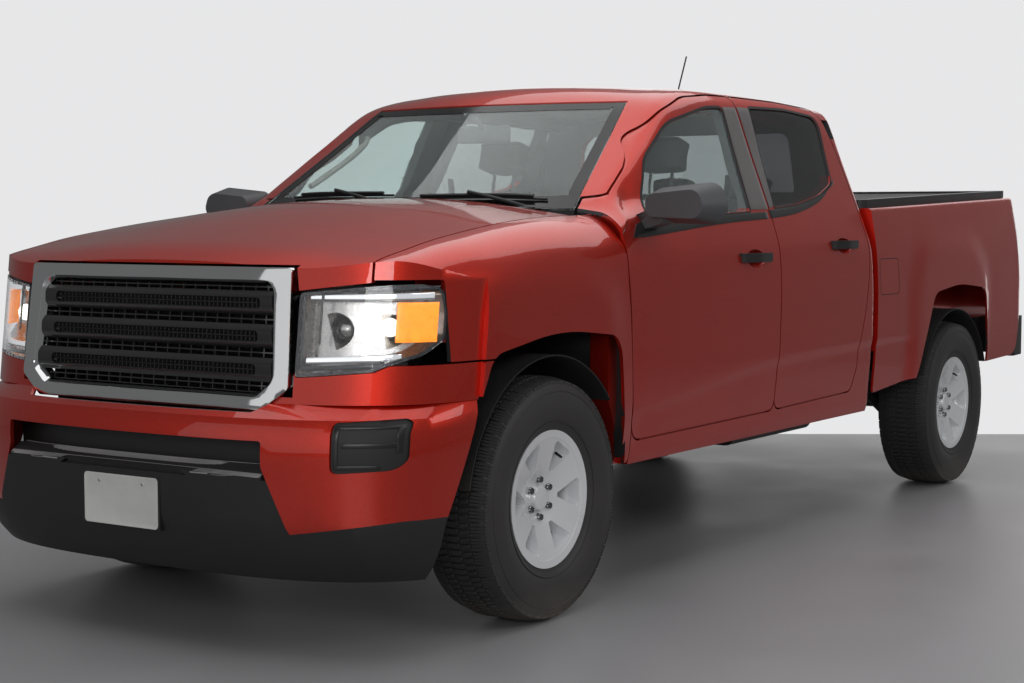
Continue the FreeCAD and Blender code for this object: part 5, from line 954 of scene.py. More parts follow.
BELT_FRONT = (
    [(511, 1206), (644, 1211), (1187, 1251), (1590, 1270)],
    [(560, 1252), (680, 1266), (1187, 1281), (1590, 1297)],
)
BELT_REAR = (
    [(1612, 1271), (1865, 1292), (2130, 1344), (2330, 1432)],
    [(1614, 1303), (1890, 1322), (2130, 1360), (2306, 1410)],
)
POST_FRONT = [(1462, 1304), (1522, 1700)], [(1610, 1306), (1628, 1702)]
POST_REAR = [(1628, 1310), (1646, 1706)], [(1664, 1318), (1742, 1706)]
STRIPS = (
    ("belt_strip_front", BELT_FRONT, 40, 3, "satin_black", "black_plastic"),
    ("belt_strip_rear", BELT_REAR, 32, 3, "satin_black", "black_plastic"),
    ("pillar_plate_front", POST_FRONT, 20, 6, "pillar_grey", "trim_grey"),
    ("pillar_plate_rear", POST_REAR, 20, 6, "pillar_grey", "trim_grey"),
)
STRIP_LIFT = 0.0022
STRIP_BEVEL = 0.0008
WIPERS = ((610.0, 560.0, 42.0), (-10.0, 540.0, 58.0))


class TRUCK_OT_trim(bpy.types.Operator):
    """Adds the belt strips, pillar plates, mirrors, wipers, and a strip of painted shade round the fuel door
    """
    bl_idname = "truck.trim"
    bl_label = "Outside trim"

    def execute(self, context):
        thickness = context.scene.truck_sizes.strip_thickness
        for side, sign in SIDES:
            for name, edges, count, across, finish, slot in STRIPS:
                door = "door_" + name.rsplit("_", 1)[1]
                strip = draped_band(*edges, sign, [door], count, across, STRIP_LIFT, thickness, STRIP_BEVEL)
                settle(strip, f"{name}_{side}", f"{door}_{side}", finish)
            foot = lambda c, n: abs(c.x) < 0.885
            dress("mirror_" + side, "matt_grey", 35.0, [(foot, "grained_black")])
            outline = [(896, 1274), (890, 1358), (1114, 1376), (1146, 1302), (1106, 1268)]
            pane = plate([at(x * sign, 699.6, z) for x, z in outline], Vector((0, 0.0016, 0)), 0.0006, 1)
            settle(pane, "mirror_glass_" + side, "door_front_" + side, "mirror_glass", 30.0)
        self.fuel_door()
        self.wipers()
        dress("cowl", "grained_black", 30.0)
        dress("antenna", "satin_black", 40.0)
        return {"FINISHED"}

    def fuel_door(self):
        """A black strip of painted shade round the fuel filler's door on the left bed side, standing in for
        its dark gap.
        """
        corners = [(2584, 942, 20), (2790, 942, 20), (2790, 1094, 20), (2584, 1094, 20)]
        # The seal-black loop is painted shade in place of the shadowed gap, not a rubber seal.
        gap = draped_loop(arc_corners(corners), 3.2, 1.0, ["bed_side"], 0.0004, 0.0008)
        settle(gap, "fuel_door_gap", "chassis", "seal", 40.0)

    def wipers(self):
        """Two wiper arms with blades, parked along the foot of the windscreen."""
        for index, (pivot, reach, rise) in enumerate(WIPERS):
            line = []
            for share in np.linspace(0.04, 1.0, 12):
                x = pivot - share * reach
                line.append(screen_point(x, screen_edge(x, True) + rise, 0.010))
            pieces = [swept(line, 0.0045, 24, 6)]
            rail = [p + Vector((0, -0.002, 0.009)) for p in line[1:-1]]
            pieces.append(swept(rail, 0.006, 20, 6))
            foot = at(pivot, screen_edge(pivot, True) - 4.0, 0)
            ground = cast(frame["nodes"]["cowl"], Vector((foot.x, foot.y, 2.0)), Vector((0, 0, -1)))
            foot.z = (ground.z if ground else 1.27) + 0.006
            middle = line[6] + Vector((0, -0.004, 0.020))
            knee = foot + Vector((-0.03, 0.008, 0.020))
            bow = foot.lerp(middle, 0.5) + Vector((0, -0.004, 0.012))
            pieces.append(swept([foot, knee, bow, middle], 0.007, 20, 8))
            pieces.append(rod(foot - Vector((0, 0, 0.008)), foot + Vector((0, 0, 0.014)), 0.016, 20, 0.012))
            settle(joined(pieces), f"wiper_{index + 1}", "chassis", "satin_black", 40.0)


# The truck's face

FACE_CURVE = (
    (0, -800), (280, -799), (520, -793), (650, -765), (770, -702), (860, -610), (905, -500), (925, -380),
)
FACE_TOP = 1130.0
FACE_RAKE = 0.122
BAR_HEIGHTS = (834.0, 930.0, 1026.0)


def face_station(x, z):
    """The station of the truck's raked front face."""
    widths, stations = zip(*FACE_CURVE)
    return float(np.interp(abs(x), widths, stations)) - (FACE_TOP - z) * FACE_RAKE


def front_point(node, x, z, lift):
    """The foremost point of a solid at x and a height, lifted off it to the front."""
    place = cast(frame["nodes"][node], at(x, BEFORE, z), Vector((0, 1, 0)))
    if place is None:
        raise RuntimeError(f"nothing of {node} at {x}, {z}")
    return place - Vector((0, lift, 0))


class TRUCK_OT_front(bpy.types.Operator):
    """Finishes the grille, its slots, the lower bumper and the fog lamp bezels"""
    bl_idname = "truck.front"
    bl_label = "Grille and lower bumper"

    def execute(self, context):
        surround = dress("grille_surround", "chrome", 0)
        rounded(surround, 0.0045, 3, 35.0)
        bpy.ops.object.shade_smooth_by_angle(angle=math.radians(40.0))
        dress("grille_insert", "gloss_black", 35.0)
        dress("bumper_lower", "grained_black", 35.0)
        dress("lamp_bezels", "grained_black", 35.0)
        dress("radiator_support", "satin_black", 35.0)
        self.slots()
        self.step()
        self.bezel_frames()
        return {"FINISHED"}

    def step(self):
        """The bumper's silver-grey chamfered upper edge, broken below by the hollow over the plate."""
        half, notch_half = 518.0, 276.0
        strips = []
        for low, high in ((-half, -notch_half), (notch_half, half)):
            xs = np.linspace(low, high, 16)
            strips.append(sheet_grid([
                [front_point("bumper_lower", x, z, 0.0005) for x in xs] for z in (538.0, 542.0, 546.5)]))
        rows = [[], [], []]
        for x in np.linspace(-half, half, 48):
            edge = front_point("bumper_lower", x, 546.5, 0.0005)
            skin = front_point("bumper_lower", x, 515.0, 0.0)
            rows[0].append(edge)
            rows[1].append(Vector((edge.x, max(edge.y, skin.y) + 0.012, 0.5530)))
            rows[2].append(Vector((edge.x, skin.y + 0.064, 0.5695)))
        strips.append(sheet_grid(rows))
        for strip in strips:
            face_outwards(strip, Vector((0, -0.7, 0.7)))
            thicken(strip, 0.0015)
        settle(joined(strips), "bumper_step", "chassis", "ledge_grey", 50.0)

    def bezel_frames(self):
        """The raised rim and the cross bar of each fog lamp bezel."""
        def station(x, z):
            return front_point("lamp_bezels", min(x, 868.0), min(max(z, 580.0), 692.0), 0.0).y

        pieces = [
            lamp_sheet(722, 868, 680, 692, -0.0048, 0.0048, 10, 2, station),
            lamp_sheet(722, 826, 566, 578, -0.0048, 0.0048, 10, 2, station),
            lamp_sheet(720, 732, 572, 688, -0.0048, 0.0048, 2, 8, station),
            lamp_sheet(856, 868, 612, 688, -0.0048, 0.0048, 2, 8, station),
            lamp_sheet(738, 856, 626, 640, -0.0030, 0.0030, 10, 2, station),
        ]
        for piece in pieces:
            rounded(piece, 0.0015, 2)
        frame_left = joined(pieces)
        frame_right = duplicate(frame_left, MIRROR)
        settle(frame_left, "bezel_rim_left", "chassis", "satin_black")
        settle(frame_right, "bezel_rim_right", "chassis", "satin_black")

    def slots(self):
        """Rows of small upright ribs in the hollow of each grille bar."""
        rib = block(at(-1.4, -4, -6.5), at(1.4, 4, 6.5), 0.0006, 1)
        shelf = block(at(-412, -5, -1.2), at(412, 5, 1.2), 0.0006, 1)
        copies = []
        for z in BAR_HEIGHTS:
            station = -800.0 - (FACE_TOP - z) * FACE_RAKE + 7.0
            copies.append(duplicate(shelf, Matrix.Translation(at(0, station, z) - at(0, 0, 0))))
            for x in np.linspace(-408.0, 408.0, 49):
                for row in (-8.5, 8.5):
                    place = at(x, station, z + row) - at(0, 0, 0)
                    copies.append(duplicate(rib, Matrix.Translation(place)))
        bpy.data.objects.remove(shelf)
        bpy.data.objects.remove(rib)
        settle(joined(copies), "grille_slots", "chassis", "satin_black", 40.0)


# Headlamps

def lens_station(x, z):
    """The y of the headlamp lens in front of a point, in metres."""
    place = cast(frame["nodes"]["headlamp_lenses"], at(x, BEFORE, z), Vector((0, 1, 0)))
    return place.y if place is not None else at(0, face_station(x, z), 0).y


def lamp_sheet(x0, x1, z0, z1, depth, thickness, count=18, rows=4, station=lens_station):
    """A panel that follows a front surface, the lamp's lens unless another is given, at a depth."""
    grid = []
    for j in range(rows + 1):
        row = []
        for i in range(count + 1):
            x = x0 + (x1 - x0) * i / count
            low = z0(x) if callable(z0) else z0
            high = z1(x) if callable(z1) else z1
            z = low + (high - low) * j / rows
            row.append(Vector((x / 1000.0, station(x, z) + depth, z / 1000.0)))
        grid.append(row)
    obj = sheet_grid(grid)
    face_outwards(obj, Vector((0, -1, 0)))
    thicken(obj, thickness)
    return obj


LAMP_PANELS = (
    ("lamp_band_upper", (574, 884, (1058, 0.02), (1074, 0.02)), (0.007, 0.004), (18, 2), "lamp_dark"),
    ("lamp_strip_upper", (584, 876, 1038, (1054, 0.02)), (0.016, 0.010), (18, 3), "chrome"),
    ("lamp_strip_lower", (580, 826, (856, 0.04), (874, 0.05)), (0.016, 0.010), (18, 3), "chrome"),
    ("lamp_band_lower", (574, 840, (836, 0.05), (850, 0.05)), (0.007, 0.004), (18, 2), "lamp_dark"),
    ("lamp_end", (568, 578, 842, 1068), (0.007, 0.004), (2, 8), "lamp_dark"),
    ("lamp_shade", (622, 628, 912, 1066), (0.010, 0.006), (2, 8), "satin_black"),
    ("turn_signal", (812, 884, 918, 1032), (0.012, 0.004), (10, 8), "amber"),
)
LAMP_INNER_X = 580.0
BULBS = (
    ("side_bulb_", (640.0, -690.0), 0.013, "reflector"),
    ("main_bulb_", (764.0, -640.0), 0.027, "lamp_light"),
)
BULB_HEIGHT = 958.0


def line_of(edge):
    """An edge's height over x: a plain number, or a height at the lamp's inner end with a slope."""
    if not isinstance(edge, tuple):
        return edge
    height, slope = edge
    return lambda x: height + slope * (x - LAMP_INNER_X)


class TRUCK_OT_headlamps(bpy.types.Operator):
    """Fills the headlamps with strips, reflectors, bulbs and turn signals"""
    bl_idname = "truck.headlamps"
    bl_label = "Headlamps"

    def execute(self, context):
        lens = dress("headlamp_lenses", "lamp_lens", 60.0)
        lens.visible_shadow = False
        rim = lambda c, n: c.y - lens_station(abs(c.x) * 1000.0, c.z * 1000.0) < 0.016
        dress("headlamps", "reflector", 30.0, [(rim, "lamp_dark")])
        for name, (x0, x1, z0, z1), (depth, thickness), (count, rows), finish in LAMP_PANELS:
            obj = lamp_sheet(x0, x1, line_of(z0), line_of(z1), depth, thickness, count, rows)
            rounded(obj, 0.0025, 2)
            copy = duplicate(obj, MIRROR)
            settle(obj, name + "_left", "chassis", finish)
            settle(copy, name + "_right", "chassis", finish)
        for side, sign in SIDES:
            for name, (x, y), radius, finish in BULBS:
                bpy.ops.mesh.primitive_uv_sphere_add(
                    segments=24, ring_count=12, radius=radius, location=at(x * sign, y, BULB_HEIGHT))
                settle(context.active_object, name + side, "chassis", finish, 60.0)
        return {"FINISHED"}


# Wheels and tyres

def wheel_bodies():
    """Each wheel's body, side and axle position."""
    for side, sign in SIDES:
        for end, y in (("front", -FRONT_AXLE / 1000.0), ("rear", -REAR_AXLE / 1000.0)):
            yield f"{end}_{side}", sign, y


def wheel_matrix(sign, y):
    """Moves a wheel piece modelled at the origin, facing +X, to its place."""
    turn = Matrix.Rotation(0.0 if sign > 0 else math.pi, 4, "Z")
    return Matrix.Translation(Vector((WHEEL_X / 1000.0 * sign, y, WHEEL_Z / 1000.0))) @ turn


NUT_CIRCLE = 0.060
HUB_CAP = ((50, 0), (50, 41), (66, 41), (73.5, 37), (75.5, 28), (75.5, 0))
DISC_INSET = 21.0


def brake_disc(c, n):
    """Faces of a wheel's brake disc."""
    along = min(abs(c.y + FRONT_AXLE / 1000.0), abs(c.y + REAR_AXLE / 1000.0))
    radius = math.hypot(c.z - WHEEL_Z / 1000.0, along)
    return abs(abs(c.x) - (WHEEL_X - DISC_INSET) / 1000.0) < 0.016 and 0.07 < radius < 0.158


class TRUCK_OT_wheels(bpy.types.Operator):
    """Paints the alloy wheels and adds their nuts, caps and valves"""
    bl_idname = "truck.wheels"
    bl_label = "Wheels"

    def execute(self, context):
        radius = context.scene.truck_sizes.lug_radius
        nuts = []
        for k in range(6):
            turn = math.radians(60.0 * k)
            centre = Vector((0, NUT_CIRCLE * math.sin(turn), NUT_CIRCLE * math.cos(turn)))
            start, tip = centre + Vector((0.052, 0, 0)), centre + Vector((0.076, 0, 0))
            nut = rod(start, tip, radius, 6, radius * 0.86)
            rounded(nut, 0.0016, 2)
            nuts.append(nut)
        nut = joined(nuts)
        cap = turned([Vector((u / 1000.0, 0, r / 1000.0)) for u, r in HUB_CAP], (0, 0, 0), (1, 0, 0), 48)
        valve = rod(Vector((0.070, 0.088, 0.135)), Vector((0.097, 0.080, 0.124)), 0.0045, 12, 0.0038)
        for name, sign, y in wheel_bodies():
            body = "wheel_" + name
            dress(body, "alloy", 30.0, [(brake_disc, "bare_disc")])
            place = wheel_matrix(sign, y)
            settle(duplicate(nut, place), "wheel_nuts_" + name, body, "dark_nut", 30.0)
            settle(duplicate(cap, place), "wheel_cap_" + name, body, "alloy", 30.0)
            settle(duplicate(valve, place), "tyre_valve_" + name, body, "satin_black", 30.0)
        for obj in (nut, cap, valve):
            bpy.data.objects.remove(obj)
        return {"FINISHED"}


CARCASS_HALF = [
    (94, 204), (101, 212), (108, 228), (111, 236), (113, 238), (124, 262), (130, 290), (131, 306), (129, 330),
    (124, 350), (117, 366), (110, 376), (98, 379.5), (50, 381),
]
CARCASS = [(-u, r) for u, r in CARCASS_HALF] + CARCASS_HALF[::-1]
TYRE_RINGS = ((0.2455, 0.1180), (0.342, 0.1262))
TREAD_RADIUS = 0.388
TREAD_FOOT = 0.3775
SHOULDER = 0.095


class TRUCK_OT_tyres(bpy.types.Operator):
    """Models one tyre with its tread blocks and fits a copy to each wheel"""
    bl_idname = "truck.tyres"
    bl_label = "Tyres"

    def execute(self, context):
        sizes = context.scene.truck_sizes
        carcass = turned([Vector((u / 1000.0, 0, r / 1000.0)) for u, r in CARCASS], (0, 0, 0), (1, 0, 0), 96)
        rings = [carcass]
        for r, u in TYRE_RINGS:
            for sign in (1, -1):
                bpy.ops.mesh.primitive_torus_add(
                    major_segments=96, minor_segments=6, major_radius=r, minor_radius=0.0016,
                    location=(u * sign, 0, 0), rotation=(0, math.pi / 2, 0))
                bpy.ops.object.transform_apply(location=True, rotation=True, scale=True)
                rings.append(bpy.context.active_object)
        carcass = joined(rings)
        tread = self.tread(sizes.tread_pitches, sizes.tread_depth)
        for name, sign, y in wheel_bodies():
            place = wheel_matrix(sign, y)
            parts = ((carcass, "tyre_wall_", "sidewall"), (tread, "tyre_tread_", "rubber"))
            for piece, title, finish in parts:
                made = duplicate(piece, place)
                settle(made, title + name, "wheel_" + name, finish, 40.0, replaces=("tyre_" + name,))
        for obj in (carcass, tread):
            bpy.data.objects.remove(obj)
        return {"FINISHED"}

    def tread(self, pitches, depth):
        """One pitch of tread blocks, bent round the tyre and repeated."""
        pitch = 2 * math.pi * TREAD_RADIUS / pitches
        outlines = []
        for sign in (1, -1):
            for k in range(4):
                low = (-0.42 + 0.225 * k) * pitch
                high = low + 0.205 * pitch
                points = [(70, low), (118, low - 0.002), (118, high - 0.002), (70, high)]
                points += [(66, (low + high) / 2)]
                outlines.append((points, sign, 0.0))
            for k in range(2):
                low = (-0.46 + 0.46 * k) * pitch
                points = [(31, low), (60, low + 0.006), (63, low + 0.012), (60, low + 0.40 * pitch)]
                points += [(31, low + 0.34 * pitch), (28, low + 0.010)]
                outlines.append((points, sign, 0.15))
        for k in range(2):
            low = (-0.5 + 0.5 * k) * pitch
            points = [(-21, low + 0.004), (0, low), (21, low + 0.004), (24, low + 0.20 * pitch)]
            points += [(21, low + 0.42 * pitch), (0, low + 0.38 * pitch), (-21, low + 0.42 * pitch)]
            points += [(-24, low + 0.20 * pitch)]
            outlines.append((points, 1, 0.3))
        blocks = []
        for outline, sign, shift in outlines:
            round_by = shift * pitch * 0.2
            points = [Vector((u / 1000.0 * sign, s * sign + round_by, TREAD_FOOT)) for u, s in outline]
            blocks.append(plate(points, Vector((0, 0, depth + 0.002)), 0.0012, 1))
        pattern = joined(blocks)
        for v in pattern.data.vertices:
            u, s, r = v.co
            fall = 0.0 if abs(u) < SHOULDER else ((abs(u) - SHOULDER) / 0.023) ** 1.6 * 0.012
            r = min(r, TREAD_RADIUS) - 0.0012 * (u / SHOULDER) ** 2 - fall
            turn = s / TREAD_RADIUS
            v.co = Vector((u, r * math.sin(turn), r * math.cos(turn)))
        pick(pattern)
        bpy.ops.object.mode_set(mode="EDIT")
        bpy.ops.mesh.select_all(action="SELECT")
        bpy.ops.mesh.spin(
            steps=pitches - 1, dupli=True, angle=2 * math.pi * (pitches - 1) / pitches,
            center=(0, 0, 0), axis=(1, 0, 0))
        bpy.ops.mesh.select_all(action="SELECT")
        bpy.ops.mesh.normals_make_consistent(inside=False)
        close_mesh()
        return pattern


# Bed, tail and underbody

BED_START = 2556.0
RAIL_FOOT = 1313.9
RAIL_SLOPE = 0.034


class TRUCK_OT_bed(bpy.types.Operator):
    """Finishes the load bed, its cover, the tail lamps and the rear bumper"""
    bl_idname = "truck.bed"
    bl_label = "Bed and tail"

    def execute(self, context):
        dress("bed_floor", "bed_lining", 35.0)
        top = lambda c, n: n.z > 0.9 and abs(c.x) < 0.77 and at(0, 2668, 0).y < c.y < at(0, 4374, 0).y
        dress("tonneau", "cover_frame", 35.0, [(top, "cover_cloth")])
        reverse = lambda c, n: 1.085 < c.z < 1.165
        dress("tail_lamps", "red_lens", 35.0, [(reverse, "clear_lens")])
        dress("bumper_rear", "grained_black", 35.0)
        for side, sign in SIDES:
            rows = []
            for x in (756.0, 846.0):
                stations = np.linspace(2562.0, 4386.0, 30)
                rows.append([at(x * sign, t, RAIL_FOOT + RAIL_SLOPE * (t - BED_START)) for t in stations])
            cap = sheet_grid(rows)
            face_outwards(cap, Vector((0, 0, 1)))
            thicken(cap, 0.0007)
            settle(cap, "rail_cap_" + side, "chassis", "grained_black")
        strips = []
        for k in range(9):
            station = 4610.0 + 12.0 * k
            strips.append(block(at(-170, station, 762.0), at(170, station + 5.0, 763.2), 0.0005, 1))
        settle(joined(strips), "bumper_tread_strips", "chassis", "satin_black")
        lamp = block(at(-120, 2500, 1722), at(120, 2520, 1744), 0.004, 2)
        settle(lamp, "high_stop_lamp", "chassis", "red_lens")
        return {"FINISHED"}


class TRUCK_OT_plates(bpy.types.Operator):
    """Adds the two blank plates with their screws"""
    bl_idname = "truck.plates"
    bl_label = "Blank plates"

    def execute(self, context):
        self.plate_at("front_plate", -962.0, 435.0, -1.0)
        self.plate_at("rear_plate", 4695.4, 596.0, 1.0)
        return {"FINISHED"}

    def plate_at(self, name, station, height, facing):
        """A blank plate with a raised rim, and two screws in it."""
        half_w, half_h, r = 152.0, 76.0, 12.0
        points = []
        for quarter, (right, up) in enumerate(((1, 1), (-1, 1), (-1, -1), (1, -1))):
            cx, cz = (half_w - r) * right, (half_h - r) * up
            for k in range(6):
                turn = math.radians(90.0 * quarter + 18.0 * k)
                points.append(at(cx + r * math.cos(turn), station, height + cz + r * math.sin(turn)))
        sheet = plate(points, Vector((0, 0.0017 * facing, 0)))
        open_mesh(sheet, False)
        close_mesh()
        for face in sheet.data.polygons:
            face.select = face.normal.y * facing > 0.9
        bpy.ops.object.mode_set(mode="EDIT")
        bpy.ops.mesh.inset(thickness=0.005)
        bpy.ops.mesh.inset(thickness=0.0015, depth=-0.0005)
        close_mesh()
        settle(sheet, name, "chassis", "plate_white", 20.0)
        screws = []
        for side in (-1, 1):
            start = at(side * 89.0, station, height + 53.0)
            screws.append(rod(start, start + Vector((0, 0.0021 * facing, 0)), 0.006, 16, 0.005))
        settle(joined(screws), name + "_screws", "chassis", "chrome")


UNDERBODY = {
    "frame": ("frame_steel", "chassis_steel"), "front_suspension": ("frame_steel", "chassis_steel"),
    "steering_linkage": ("frame_steel", "chassis_steel"), "rear_axle": ("frame_steel", "chassis_steel"),
    "knuckle_left": ("cast_metal", "chassis_steel"), "knuckle_right": ("cast_metal", "chassis_steel"),
    "powertrain": ("cast_metal", "engine"), "exhaust": ("exhaust_steel", "exhaust_steel"),
    "fuel_tank": ("satin_black", "black_plastic"), "spare_wheel": ("sidewall", "tyre"),
    "wheel_liners": ("liner", "black_plastic"),
}


class TRUCK_OT_underbody(bpy.types.Operator):
    """Gives the frame, axles, engine and exhaust their finishes"""
    bl_idname = "truck.underbody"
    bl_label = "Underbody"

    def execute(self, context):
        for node, (finish, slot) in UNDERBODY.items():
            dress(node, finish, 32.0)
        under = lambda c, n: n.z < -0.2
        dress("floor_pan", "carpet", 32.0, [(under, "underbody")])
        return {"FINISHED"}


# Cabin

GRAB_HANDLE = ((614, 640, 1392), (598, 652, 1402), (566, 820, 1500), (552, 900, 1560), (560, 925, 1585))
SEAT_BELT = ((672, 1640, 1440), (655, 1640, 1240), (650, 1630, 900), (640, 1560, 740))


class TRUCK_OT_cabin(bpy.types.Operator):
    """Adds the dashboard's details, the steering wheel, mirror, visors and grab handles"""
    bl_idname = "truck.cabin"
    bl_label = "Cabin"

    def execute(self, context):
        dress("dashboard", "cabin_trim", 35.0)
        dress("steering_wheel", "wheel_leather", 50.0)
        vents = []
        for x in (-600, -110, 110, 600):
            vents.append(block(at(x - 48, 838, 1128), at(x + 48, 856, 1186), 0.008, 2))
            for k in range(4):
                vents.append(block(at(x - 42, 853, 1136 + 12 * k), at(x + 42, 859, 1140 + 12 * k), 0.0008, 1))
        settle(joined(vents), "air_vents", "chassis", "satin_black")
        screen = block(at(-88, 842, 1040), at(88, 858, 1118), 0.006, 2)
        settle(screen, "centre_screen", "chassis", "screen")
        strip = block(at(-640, 846, 1094), at(-130, 858, 1108), 0.004, 2)
        settle(strip, "dash_strip", "chassis", "cabin_silver")
        top = screen_point(0, 880, -0.008)
        stem = rod(top, top + Vector((0, 0.045, -0.040)), 0.008, 12, 0.010)
        head = block(top + Vector((-0.120, 0.036, -0.092)), top + Vector((0.120, 0.060, -0.026)), 0.014, 3)
        settle(joined([stem, head]), "cabin_mirror", "chassis", "cabin_trim")
        pane = block(top + Vector((-0.112, 0.0595, -0.085)), top + Vector((0.112, 0.0625, -0.033)), 0.001, 1)
        settle(pane, "cabin_mirror_glass", "chassis", "mirror_glass")
        visors = []
        for _, sign in SIDES:
            x = sign * 285
            visors.append(block(at(x - 195, 1075, 1712), at(x + 195, 1235, 1728), 0.007, 2))
        settle(joined(visors), "sun_visors", "chassis", "headliner")
        handles = [swept([at(sign * x, y, z) for x, y, z in GRAB_HANDLE], 0.011, 28, 10) for _, sign in SIDES]
        settle(joined(handles), "grab_handles", "chassis", "headliner")
        belts = []
        for _, sign in SIDES:
            line = [at(sign * x, y, z) for x, y, z in SEAT_BELT]
            rows = [[p + Vector((0, d, 0)) for p in smooth_line(line, 16)] for d in (-0.023, 0.023)]
            belt = sheet_grid(rows)
            thicken(belt, 0.0014)
            belts.append(belt)
        settle(joined(belts), "seat_belts", "chassis", "webbing", 40.0)
        return {"FINISHED"}


# Seats

def ease(t):
    t = max(0.0, min(1.0, t))
    return t * t * (3.0 - 2.0 * t)


def pad_form(half, depth, height, bolster, crown, pinch=0.018):
    """A cushion before it is stuffed, centred on the origin with its face up, sizes in metres."""
    bpy.ops.mesh.primitive_cube_add(size=1.0, location=(0, 0, 0), scale=(2 * half, depth, height))
    bpy.ops.object.transform_apply(location=True, rotation=True, scale=True)
    obj = bpy.context.active_object
    open_mesh(obj)
    bpy.ops.mesh.subdivide(number_cuts=13)
    close_mesh()
    for v in obj.data.vertices:
        u, w = v.co.x / half, v.co.y / (depth / 2)
        if v.co.z > 0:
            side = ease((abs(u) - 0.60) / 0.16)
            v.co.z += crown * (1 - w * w) * (1 - 0.5 * u * u) - bolster * (1 - side)
        corner = min(1.0, abs(u)) ** 6 * min(1.0, abs(w)) ** 6
        v.co.x -= math.copysign(pinch, v.co.x) * (1 - abs(w) ** 2) * abs(u) ** 4 * 0.5
        v.co.x *= 1 - 0.10 * corner
        v.co.y *= 1 - 0.12 * corner
    rounded(obj, 0.028, 3, 50.0)
    return obj


def stuffed(obj, voxel=0.007, pressure=4.0, cap=0.024, frames=20):
    """Fills a cushion with cloth simulation, holds how far it swells, and smooths it."""
    apply_modifier(obj, "REMESH", mode="VOXEL", voxel_size=voxel, use_smooth_shade=True)
    rest = np.empty(len(obj.data.vertices) * 3, np.float32)
    obj.data.vertices.foreach_get("co", rest)
    pick(obj)
    modifier = obj.modifiers.new("Cloth", "CLOTH")
    cloth = modifier.settings
    cloth.quality = 5
    cloth.mass = 0.3
    cloth.use_pressure = True
    cloth.uniform_pressure_force = pressure
    cloth.tension_stiffness = 18.0
    cloth.compression_stiffness = 18.0
    cloth.shear_stiffness = 8.0
    cloth.effector_weights.gravity = 0.0
    modifier.point_cache.frame_start = 1
    modifier.point_cache.frame_end = frames
    scene = bpy.context.scene
    for frame_number in range(1, frames + 1):
        scene.frame_set(frame_number)
    bpy.ops.object.modifier_apply(modifier=modifier.name)
    scene.frame_set(1)
    moved = np.empty_like(rest)
    obj.data.vertices.foreach_get("co", moved)
    shift = (moved - rest).reshape(-1, 3)
    length = np.linalg.norm(shift, axis=1, keepdims=True)
    shift *= np.minimum(1.0, cap / np.maximum(length, 1e-9))
    obj.data.vertices.foreach_set("co", (rest.reshape(-1, 3) + shift).ravel())
    obj.data.update()
    apply_modifier(obj, "SMOOTH", factor=0.5, iterations=4)
    apply_modifier(obj, "DECIMATE", ratio=0.35)
    return obj


def draped_seam(obj, line, radius, direction, count=40):
    """Sewn piping that lies on a cushion along a line, found by looking in a direction."""
    points = []
    for p in smooth_line(line, count):
        place = cast(obj, p - direction * 0.3, direction)
        if place is not None:
            points.append(place - direction * radius * 0.2)
    return swept(points, radius, count, 6)


def cushion(name, half, depth, height, bolster, crown, place, seams, copies=(), node="front_seats"):
    """A padded cushion with its piping, set in place, and its copies."""
    width = bpy.context.scene.truck_sizes.seam_width
    obj = stuffed(pad_form(half - 0.012, depth - 0.024, height - 0.02, bolster, crown))
    bpy.context.view_layer.update()
    piping = joined([draped_seam(obj, line, width / 2, Vector((0, 0, -1))) for line in seams(half, depth)])
    for suffix, matrix in [("", place), *copies]:
        pad = duplicate(obj, matrix)
        settle(pad, name + suffix, "chassis", "seat_cloth", 80.0, replaces=(node,))
        settle(duplicate(piping, matrix), name + "_piping" + suffix, "chassis", "piping", 80.0)
    bpy.data.objects.remove(obj)
    bpy.data.objects.remove(piping)


def seat_lines(half, depth):
    """Two seams beside the bolsters and two across."""
    lines = []
    for sign in (-1, 1):
        ends = [Vector((sign * half * 0.62, depth * share, 0)) for share in (-0.45, 0.45)]
        lines.append([ends[0], Vector((sign * half * 0.60, 0, 0)), ends[1]])
    for share in (-0.12, 0.2):
        lines.append([Vector((-half * 0.6, depth * share, 0)), Vector((half * 0.6, depth * share, 0))])
    return lines


def bench_lines(half, depth):
    """Seams that divide a bench's half into places."""
    lines = []
    for x in (-0.45, 0.55):
        lines.append([Vector((x * half, -depth * 0.45, 0)), Vector((x * half, depth * 0.45, 0))])
    lines.append([Vector((-half * 0.93, depth * 0.30, 0)), Vector((half * 0.93, depth * 0.30, 0))])
    return lines


def rest_lines(half, depth):
    return [[Vector((-half * 0.9, depth * 0.3, 0)), Vector((half * 0.9, depth * 0.3, 0))]]


